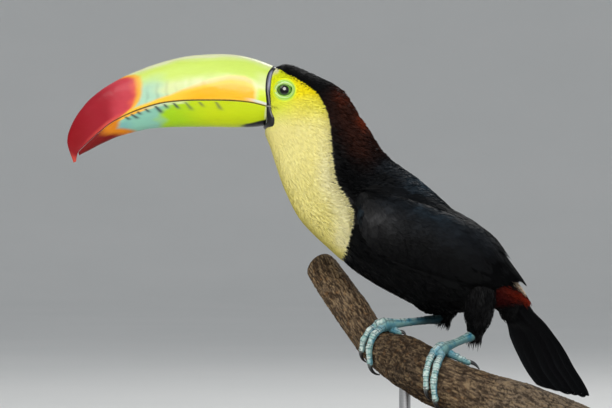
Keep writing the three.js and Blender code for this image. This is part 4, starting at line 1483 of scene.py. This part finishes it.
def growBody(name):
    tract = tracts[name]
    roots = sow(bodyPoint, tract["rows"], (-math.pi, math.pi), tract["apart"])
    if "hem" in tract:
        roots = np.concatenate([roots, sowHem(tract["rows"], tract["hem"])])
    roots = roots[grows(name, *roots.T)]
    row, turn = roots.T
    size, heading = sizeAt(name, row, turn), headingAt(name, row, turn)
    sunk = np.minimum(along(coatDepth, row), growth["deepest"])
    shape = dict(tract, rootLift=0.25 - sunk, tipLift=tipsAt(name, row, turn))
    tints = tintsAt(name, row, turn, size, heading)
    tuft = vanes(bodyPoint, roots, tints, shape, heading, size)
    coat(name, [tuft], tract["finish"], tract["slot"])


print("plumage of the body")
for name in tracts:
    growBody(name)


# wings

wingTracts = {  # share span, place span, roots apart, how they stand over each other, heading, shape
    "scapulars": ((-0.04, 0.55), (-0.16, 0.12), (5.0, 4.2), 0.5, 0.1,
                  dict(length=15, width=8.0, strips=7, steps=5, ragged=0.16, part=0.6, fleck=0.1)),
    "lesser": ((-0.03, 0.36), (0.02, 1.0), (3.3, 3.1), 0.1, 0.16,
               dict(length=9.5, width=6.2, strips=6, steps=4, ragged=0.14, part=0.6, fleck=0.1)),
    "median": ((0.3, 0.5), (0.02, 0.98), (5.0, 4.6), 0.0, 0.22,
               dict(length=16, width=8.6, strips=8, steps=5, ragged=0.08, part=0.75, fleck=0.07)),
    "greater": ((0.44, 0.6), (0.04, 0.95), (9.0, 6.0), -0.25, 0.26,
                dict(length=27, width=11.0, strips=10, steps=7, ragged=0.03, part=0.88, fleck=0.05)),
}
covertShape = dict(plainCoat, ruffle=0.1, stray=0.09, vary=0.13, nudge=0.004)
quills = {
    "secondaries": dict(
        count=9, share=(0.5, 0.42), place=(0.08, 0.66), length=(66, 71), width=15, heading=0.06,
    ),
    "primaries": dict(
        count=8, share=(0.42, 0.3), place=(0.7, 0.96), length=(83, 79), width=12, heading=-0.02,
    ),
}
quillShape = {
    "strips": 12, "steps": 14, "ragged": 0.003, "part": 1.06, "round": 0.14, "blunt": 2.6, "root": 0.55,
    "cup": 0.5, "ruffle": 0.01, "stray": 0.012, "shade": 0.2, "fleck": 0.05, "vary": 0.12,
    "rise": 0.8, "fringe": 1.0,  # how late the tip rises, how much lighter the vane's edges are
    "uneven": 0.03, "nudge": 0.004,
}


def wingTint(side, share, place):
    drift = cloud(wingPoint(side, share, place), 7.0, 21)
    # painted sheen and highlights: slate over the upper coverts, a painted reflection in ash at the wrist,
    # and steel highlights at the wing's bend and near its upper edge
    light = ease(0.75, 0.25, place) * within(share, 0.02, 0.16, 0.35, 0.75)
    wrist = bell(share, 0.15, 0.1) * bell(place, 0.7, 0.24)
    bendHighlight = bell(share, 0.08, 0.03) * bell(place, 0.93, 0.08)
    gleam = bell(share, 0.3, 0.09) * bell(place, 0.12, 0.13)
    colour = painted(plumage["black"], plumage, [
        ("soot", 0.5 + 0.5 * drift),
        ("slateSheen", clamped(light * (0.5 + 0.35 * drift))),
        ("ash", clamped(wrist * (0.65 + 0.4 * drift))),
        ("steel", clamped((0.5 * bendHighlight + 0.4 * gleam) * (0.8 + 0.5 * drift))),
    ])
    return colour * along([(0.02, 0.3), (0.12, 1)], place)[..., None]  # darker along the back edge, as painted shade


def unwrapWing(share, place):
    return np.stack([0.1 + 0.8 * place, 0.08 + 0.84 * share], -1)


def growCoverts(side, surface):
    tufts = []
    for shares, places, apart, stand, heading, shape in wingTracts.values():
        roots = sow(surface, shares, places, apart)
        share, place = roots.T
        lifts = {"rootLift": stand - 1.35 + 0.2 * dice.random(len(roots)),
                 "tipLift": stand - 0.3 + 0.25 * dice.random(len(roots))}
        size = along([(0, 0.8), (0.3, 1), (1, 1)], share) * along([(0, 1.1), (1, 0.85)], place)
        tints = wingTint(side, share + 0.006 * shape["length"], place)
        tufts.append(vanes(surface, roots, tints, covertShape | shape | lifts, heading, size, unwrapWing))
    return tufts


def growQuills(side, surface):
    tufts = []
    for kind in quills.values():
        spans = (kind["share"], kind["place"], kind["length"])
        share, place, length = (np.linspace(*span, kind["count"]) for span in spans)
        longest = kind["length"][0]
        shape = dict(quillShape, length=longest, width=kind["width"], rootLift=-1.15 - 1.1 * place,
                     tipLift=-0.2 - 0.3 * place)
        tints = wingTint(side, share + 0.3, place) * 0.6
        roots = np.stack([share, place], -1)
        tufts.append(vanes(surface, roots, tints, shape, kind["heading"], length / longest, unwrapWing))
    return tufts


print("wings")
for side, name in ((-1, "Left"), (1, "Right")):
    wing = functools.partial(wingPoint, side)
    coat(f"coverts{name}", growCoverts(side, wing), "contourFeather")
    coat(f"quills{name}", growQuills(side, wing), "quillFeather")


# tail

tailStations = [  # the ridge's x and z, the skirt's x and z, half the width
    [79.4, 143.3, 55.2, 139.8, 11], [92.4, 129.2, 61.0, 126.2, 15], [99.4, 118.8, 65.6, 116.2, 18],
    [105.6, 107.0, 70.7, 106.2, 20], [111.6, 97.2, 77.4, 97.2, 22], [116.6, 87.2, 84.0, 91.6, 23],
]
tailWalk = [(-38, -2), (0, 0), (19.1, 1), (31.6, 2), (45.0, 3), (56.4, 4), (67.6, 5), (78.8, 6)]  # way, row
tailForm = {
    "spread": [0.1, 0.26, 0.42, 0.56, 0.7, 0.82],  # where each pair of feathers lies, from the ridge out
    "tip": [67.8, 67.5, 67.0, 66.3, 65.4, 63.5],  # how far along each pair ends
    "root": -8.0,
    "width": 14.0, "narrower": 0.03,  # of each pair against the one before
    "wrap": 3.2,  # the turn round the body of the outermost root
    "swell": 4.4,  # how far the coverts lift the ridge
    "joined": (-9, 16),  # where the roots leave the body's shape for the tail's
    "bodyRow": 10.8,  # millimetres to a row of the body there
}
tailShape = dict(
    quillShape, strips=14, steps=22, round=0.09, ragged=0.002, root=0.8, cup=0.45, fringe=2.0, nudge=0.05,
)


def tailPoint(walk, out, lift=0.0):  # out is 0 on the ridge and 1 or -1 at the skirts
    walk, out = np.broadcast_arrays(np.asarray(walk, float), np.asarray(out, float))
    ridgeX, ridgeZ, skirtX, skirtZ, half = columns(tailStations, along(tailWalk, walk))
    fall = np.abs(out) ** 1.35 * 0.94
    steep = ease(0.0, 0.4, np.abs(out)) * np.sign(out)
    spots = np.stack([ridgeX + (skirtX - ridgeX) * fall, out * half, ridgeZ + (skirtZ - ridgeZ) * fall], -1)
    outward = unit(np.stack([0.75 + 0 * out, 1.3 * steep, 0.45 + 0 * out], -1))
    swell = tailForm["swell"] * bell(walk, 1, 10) * (1 - np.abs(out)) ** 2
    spots = spots + outward * (np.asarray(lift) + swell)[..., None]
    body = bodyPoint(bodyEnd + walk / tailForm["bodyRow"], out * tailForm["wrap"], lift)
    share = ease(*tailForm["joined"], walk)[..., None]
    return body * (1 - share) + spots * share


def unwrapTail(walk, out):
    return np.stack([0.5 + 0.4 * out, 0.2 + 0.01 * walk], -1)


def growTail():
    tufts, root, nudge = [], tailForm["root"], 0.1
    for order, (out, tip) in enumerate(zip(tailForm["spread"], tailForm["tip"])):
        pitch = np.linalg.norm(tailPoint(root + nudge, out) - tailPoint(root - nudge, out)) / (2 * nudge)
        for side in (-1, 1):
            shape = dict(tailShape, length=(tip - root) * pitch,
                         width=tailForm["width"] * (1 - tailForm["narrower"] * order),
                         rootLift=-1.6 - 0.12 * order, tipLift=-0.2 - 0.5 * order + 0.2 * side)
            tint = mixed(plumage["black"], plumage["soot"], dice.random(1) * 0.8)
            roots = np.array([[root, side * out]])
            tufts.append(vanes(tailPoint, roots, tint, shape, unwrap=unwrapTail))
    tail = coat("tailFeathers", tufts, "quillFeather")
    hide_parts("tail")


print("tail")
growTail()


# thighs

thighCoat = dict(
    fineCoat, length=11, width=5.5, strips=5, steps=5, ragged=0.4, cup=0.2, ruffle=0.25, stray=0.16,
    fleck=0.2, vary=0.2, rootLift=-1.1,
)


def unwrapThigh(share, turn):
    return np.stack([0.05 + 0.9 * turn / fullTurn, 0.1 + 0.8 * share], -1)


def growThigh(side):
    surface = functools.partial(limbPoint, legs[side]["thigh"], thighRadii)
    roots = sow(surface, (0.12, 0.96), (0, fullTurn), (2.6, 2.4))
    spots = surface(*roots.T)
    rowAt, turnAt = bodyPlace(spots[:, 0], spots[:, 2])
    outside = np.abs(spots[:, 1]) > bodyPoint(rowAt, turnAt, -2.5)[:, 1]
    roots = roots[outside | (turnAt > 3.0) | (roots[:, 0] > 0.6)]
    shape = dict(thighCoat, tipLift=0.2 + 0.3 * dice.random(len(roots)))
    tints = mixed(plumage["black"], plumage["ash"], 0.4 * dice.random(len(roots)) ** 5)
    coat(f"coatThigh{side}", [vanes(surface, roots, tints, shape, unwrap=unwrapThigh)], "contourFeather")


print("thighs")
for side in legs:
    growThigh(side)


# claws

clawColours = {"dark": tone("1E2022"), "light": tone("6A706C")}


def makeClaw(side, leg, toe):
    radius, tip, wrap = foot["radius"][toe] * foot["clawShare"], foot["clawTip"], foot["wrap"][toe]
    bark = np.linalg.norm(barkPoint(leg["share"], wrap) - curvePoint(branchLine, leg["share"]))
    start, end = leg["toes"][toe]
    span = math.hypot(bark * (abs(wrap) - foot["root"]), end - start)  # how long the toe is
    step = np.linspace(0, 1, 9)
    lift = radius * (1.3 - step) + foot["clawArch"] * np.sin(math.pi * step) + foot["clear"] + tip
    line = toePoint(leg, toe, 1 + (foot["clawStart"] + foot["clawLength"] * step) / span, lift)
    share = np.linspace(0, 1, 30)[:, None]
    spots = limbPoint(line, radius + (tip - radius) * step**1.3, share, circle(20))
    shade = ease(0.0, 0.35, np.broadcast_to(share, spots.shape[:2]))
    tints = mixed(clawColours["light"], clawColours["dark"], shade)
    claw = build(f"claw{side}{toe}", spots, capped(spots), finishes["clawHorn"], tints=tints, finish="claw")
    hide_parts(f"claw_{side.lower()}_{toe}")


print("claws")
for side, leg in legs.items():
    for toe in leg["toes"]:
        makeClaw(side, leg, toe)


# the branch and its stand

bark = {
    "steps": 520, "around": 210,
    "girth": 16,  # the branch's radius, near enough, as turns become millimetres
    "ridge": 1.0,  # how high the plates stand over the fissures
    "grain": 0.2, "lumps": 0.4, "streaks": 0.3,
    "knots": [(0.18, 2.3), (0.5, 1.4), (0.8, 0.6)],  # share and turn of the healed knots
    "knot": 0.7,
    "worn": (0.66, 0.8),  # shares between which the bark becomes smoother, towards the thick end
    "rim": 1.3,  # the bark's thickness at a cut end
    "bevel": 0.35, "step": 0.5,  # how far a cut end's edge and its bark are drawn in
    "yearRing": 1.35, "ringDepth": 0.12,
    "paintedLightByX": [  # x, how light: painted light along the branch, darker under the bird as its painted shadow
        (-62, 1.5), (-38, 1.3), (-22, 0.86), (-6, 0.92), (20, 1.3), (46, 1.12), (78, 0.95),
    ],
}
barkColours = {
    "dark": tone("1B140E"), "brown": tone("453627"), "grey": tone("5C4E3F"), "ochre": tone("74502C"),
    "worn": tone("7E6F5D"), "ridgeToneAndHighlight": tone("8C775A"), "heart": tone("A88258"), "sap": tone("D3B489"),
    "ring": tone("8A6238"),
}


def flatCloud(x, y, size, seed):  # noise on the bark laid out flat
    return cloud(np.stack([x, y, np.zeros_like(x)], -1), size, seed)


def barkRelief(share, turn):  # plates parted by fissures that run along and slant round the branch
    spots = barkPoint(share, turn)
    walk, girth = share * branchLength, turn * bark["girth"]
    warp = 2.2 * cloud(spots, 7.0, 41) + 1.0 * cloud(spots, 3.2, 42)
    flatX, flatY = walk * 0.4 + 0.4 * warp, (girth + warp) * 1.3
    net = np.abs(flatCloud(flatX, flatY, 2.6, 43)) + 0.55 * np.abs(flatCloud(flatX * 1.6, flatY, 1.5, 44))
    cross = ease(0.12, 0.0, np.abs(flatCloud(walk + 0.6 * warp, girth * 0.4, 3.0, 45)))
    fissure = np.maximum(ease(0.22, 0.02, net), 0.6 * cross)
    grain = flatCloud(flatX * 2.0, flatY, 0.75, 46) + 0.6 * cloud(spots, 0.8, 47)
    smoother = ease(*bark["worn"], share)
    streak = flatCloud(walk * 0.3 + 0.25 * warp, girth + 0.35 * warp, 0.95, 54)
    streak = streak + 0.5 * flatCloud(walk * 0.5, girth, 0.5, 55)
    height = bark["grain"] * grain + bark["lumps"] * cloud(spots, 9.0, 48)
    height -= bark["ridge"] * fissure * (1 - 0.55 * smoother)
    height += bark["streaks"] * streak * (1 - 0.4 * smoother)
    for at, side in bark["knots"]:
        off = np.hypot((share - at) * branchLength, wrapped(turn - side) * bark["girth"])
        height += bark["knot"] * (bell(off, 0, 5) - 0.9 * bell(off, 0, 2.2))
        fissure = np.maximum(fissure, 0.45 * bell(off, 3.6, 0.9))
    return height, fissure, grain, streak, smoother


def paintBark(spots, fissure, grain, streak, smoother):
    weathered = 0.35 + 0.5 * cloud(spots * np.array([0.5, 1, 1]), 7.0, 51) + 0.35 * grain + 0.3 * smoother
    tints = painted(barkColours["brown"], barkColours, [
        ("grey", clamped(weathered)),
        ("ochre", 0.4 * ease(0.3, 0.8, cloud(spots, 2.4, 52)) * (1 - 0.5 * smoother)),
        ("worn", 0.75 * smoother * clamped(0.75 + 0.3 * grain)),
        # lighter on raised streaks, darker in low streaks, low grain and fissures: partly the bark's own
        # tones, partly painted highlight and painted shade
        ("ridgeToneAndHighlight", 0.55 * ease(0.1, 0.8, streak)),
        ("dark", 0.7 * ease(-0.05, -0.6, streak)),
        ("dark", np.clip(fissure * 0.9 + 0.25 * ease(0, -0.6, grain), 0, 0.92)),
    ])
    # painted light along the branch, with the bird's painted shadow under it
    return tints * along(bark["paintedLightByX"], spots[..., 0])[..., None]


def cutEnd(rim, end, turns):  # sawn wood with year rings, as rings from the bark inwards
    middle = curvePoint(branchLine, end)
    path = curveAlong(branchLine, end) * (1 if end else -1)
    inward = np.linspace(0.995, 0.01, 46)[:, None, None]
    away = np.linalg.norm(rim - middle, axis=-1)[None, :, None] * inward
    ring = np.broadcast_to(turns[None, :, None], away.shape) * [2.0, 0, 0] + [0, end * 9, 0]
    wobble = 0.5 * cloud(ring, 1.0, 53)[..., None]
    wood = away < away[:1] - bark["rim"]
    years = 0.5 + 0.5 * np.cos((away + wobble) * fullTurn / bark["yearRing"])
    drawnIn = bark["step"] * ~wood + bark["ringDepth"] * years * wood
    face = middle + (rim - middle) * inward - path * drawnIn
    tints = painted(barkColours["sap"], barkColours, [
        ("heart", ease(9, 3, away[..., 0])),
        ("ring", years[..., 0] ** 3 * 0.6),
    ])
    return face, np.where(wood, tints, barkColours["dark"] * 1.4)


def makeBranch():
    turns = circle(bark["around"])
    share, turn = grid(np.linspace(0, 1, bark["steps"]), turns)
    height, *looks = barkRelief(share, np.where(turn > math.pi, turn - fullTurn, turn))
    ends = within(share, 0.0, 0.012, 0.988, 1.0)
    side = barkPoint(share, turn, height * (0.3 + 0.7 * ends) - bark["bevel"] * (1 - ends))
    tints = paintBark(barkPoint(share, turn), *looks)
    (start, startTints), (stop, stopTints) = cutEnd(side[0], 0, turns), cutEnd(side[-1], 1, turns)
    rings = np.concatenate([start[::-1], side, stop])
    tints = np.concatenate([startTints[::-1], tints, stopTints])
    branch = build("branch", rings, capped(rings), finishes["barkFinish"], tints=tints, finish="bark")
    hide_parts("perch_branch")


stand = {
    "base": [(0, 0), (93, 0), (96, 0.4), (99.2, 2.0), (100, 4.5), (100, 11.5), (99.4, 13.6), (97.4, 15.3),
             (94.8, 16), (90.5, 16), (89.8, 15.5), (89.1, 16), (0, 16)],  # a bead line runs inside the edge
    "baseSides": 160, "basePitch": 2.5,
    "collar": [(0, 0), (9, 0), (9, 3.6), (8.6, 4.6), (7.4, 5.0), (5.2, 5.0), (4.4, 5.2), (4.0, 5.8)],
    "rodSides": 48, "rodPitch": 3,
    "rodRadius": 4,
    "shares": (0.43, 0.71),  # where the rods meet the branch
    "foot": 16.3, "intoBranch": 9,
    "middleHole": 0.3,  # the radius at which a turned outline ends, so that its cap has a size
}
standColours = {
    "woodLight": tone("5A3A22"), "woodDeep": tone("2C180C"),
    "steelDark": (0.36, 0.36, 0.37), "steelLight": (0.56, 0.56, 0.57),
}


def turned(profile, pitch, sides, middle=(0, 0)):  # rings of a (radius, height) outline round an axis
    outline = []
    for (r0, z0), (r1, z1) in zip(profile, profile[1:]):
        count = max(1, round(math.hypot(r1 - r0, z1 - z0) / pitch))
        outline += [(r0 + (r1 - r0) * i / count, z0 + (z1 - z0) * i / count) for i in range(count)]
    outline = outline[1:] + [(stand["middleHole"], profile[-1][1])]
    radius, height = (np.array(values, float)[:, None] for values in zip(*outline))
    turn = circle(sides)
    x, y = middle[0] + radius * np.cos(turn), middle[1] + radius * np.sin(turn)
    return np.stack([x, y, height + 0 * turn], -1)


def makeWoodFinish():
    material, tree, shader = newMaterial(
        "waxedWood", Specular_IOR_Level=0.4, Coat_Weight=0.25, Coat_Roughness=0.2,
    )
    spot = ownSpace(tree)
    grain = vectorSums(tree, "MULTIPLY", spot, (7.0, 95.0, 60.0))
    warp = sums(tree, "MULTIPLY", noiseAt(tree, spot, 14.0, 2.0), 3.0)
    figure = noiseAt(tree, vectorSums(tree, "ADD", grain, warp), 1.0, 5.0, 0.6)
    pores = noiseAt(tree, vectorSums(tree, "MULTIPLY", spot, (60.0, 1500.0, 900.0)), 1.0, 2.0)
    pores = ranged(tree, pores, 0.3, 0.45, 0.45, 1.0)
    deep, light = opaque(standColours["woodDeep"]), opaque(standColours["woodLight"])
    wood = blendColour(tree, ranged(tree, figure, 0.32, 0.68), deep, light)
    wire(tree, shader, Base_Color=scaled(tree, wood, pores),
         Roughness=sums(tree, "MULTIPLY_ADD", figure, 0.2, 0.28),
         Normal=raised(tree, sums(tree, "ADD", pores, figure), 0.15, 0.1))
    return material


def makeSteelFinish():
    material, tree, shader = newMaterial("turnedSteel", Metallic=1.0)
    scratch = noiseAt(tree, vectorSums(tree, "MULTIPLY", ownSpace(tree), (40.0, 40.0, 2600.0)), 1.0, 3.0)
    dark, light = opaque(standColours["steelDark"]), opaque(standColours["steelLight"])
    wire(tree, shader, Base_Color=blendColour(tree, scratch, dark, light),
         Roughness=sums(tree, "MULTIPLY_ADD", scratch, 0.25, 0.2), Normal=raised(tree, scratch, 0.1, 0.05))
    return material


def makeBase():
    rings = turned(stand["base"], stand["basePitch"], stand["baseSides"])
    base = build("standBase", rings, capped(rings), makeWoodFinish(), finish="base_wood")
    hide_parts("stand_base")


def makeRods():
    steel = makeSteelFinish()
    for order, share in enumerate(stand["shares"], 1):
        top = barkPoint(share, math.pi)[2] + stand["intoBranch"]
        profile = [(radius, height + stand["foot"]) for radius, height in stand["collar"]]
        profile += [(stand["rodRadius"], top), (0, top)]
        rings = turned(profile, stand["rodPitch"], stand["rodSides"], curvePoint(branchLine, share))
        rod = build(f"standRod{order}", rings, capped(rings), steel, finish="rod_steel")
        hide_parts(f"stand_rod_{order}")


print("branch and stand")
makeBranch()
makeBase()
makeRods()
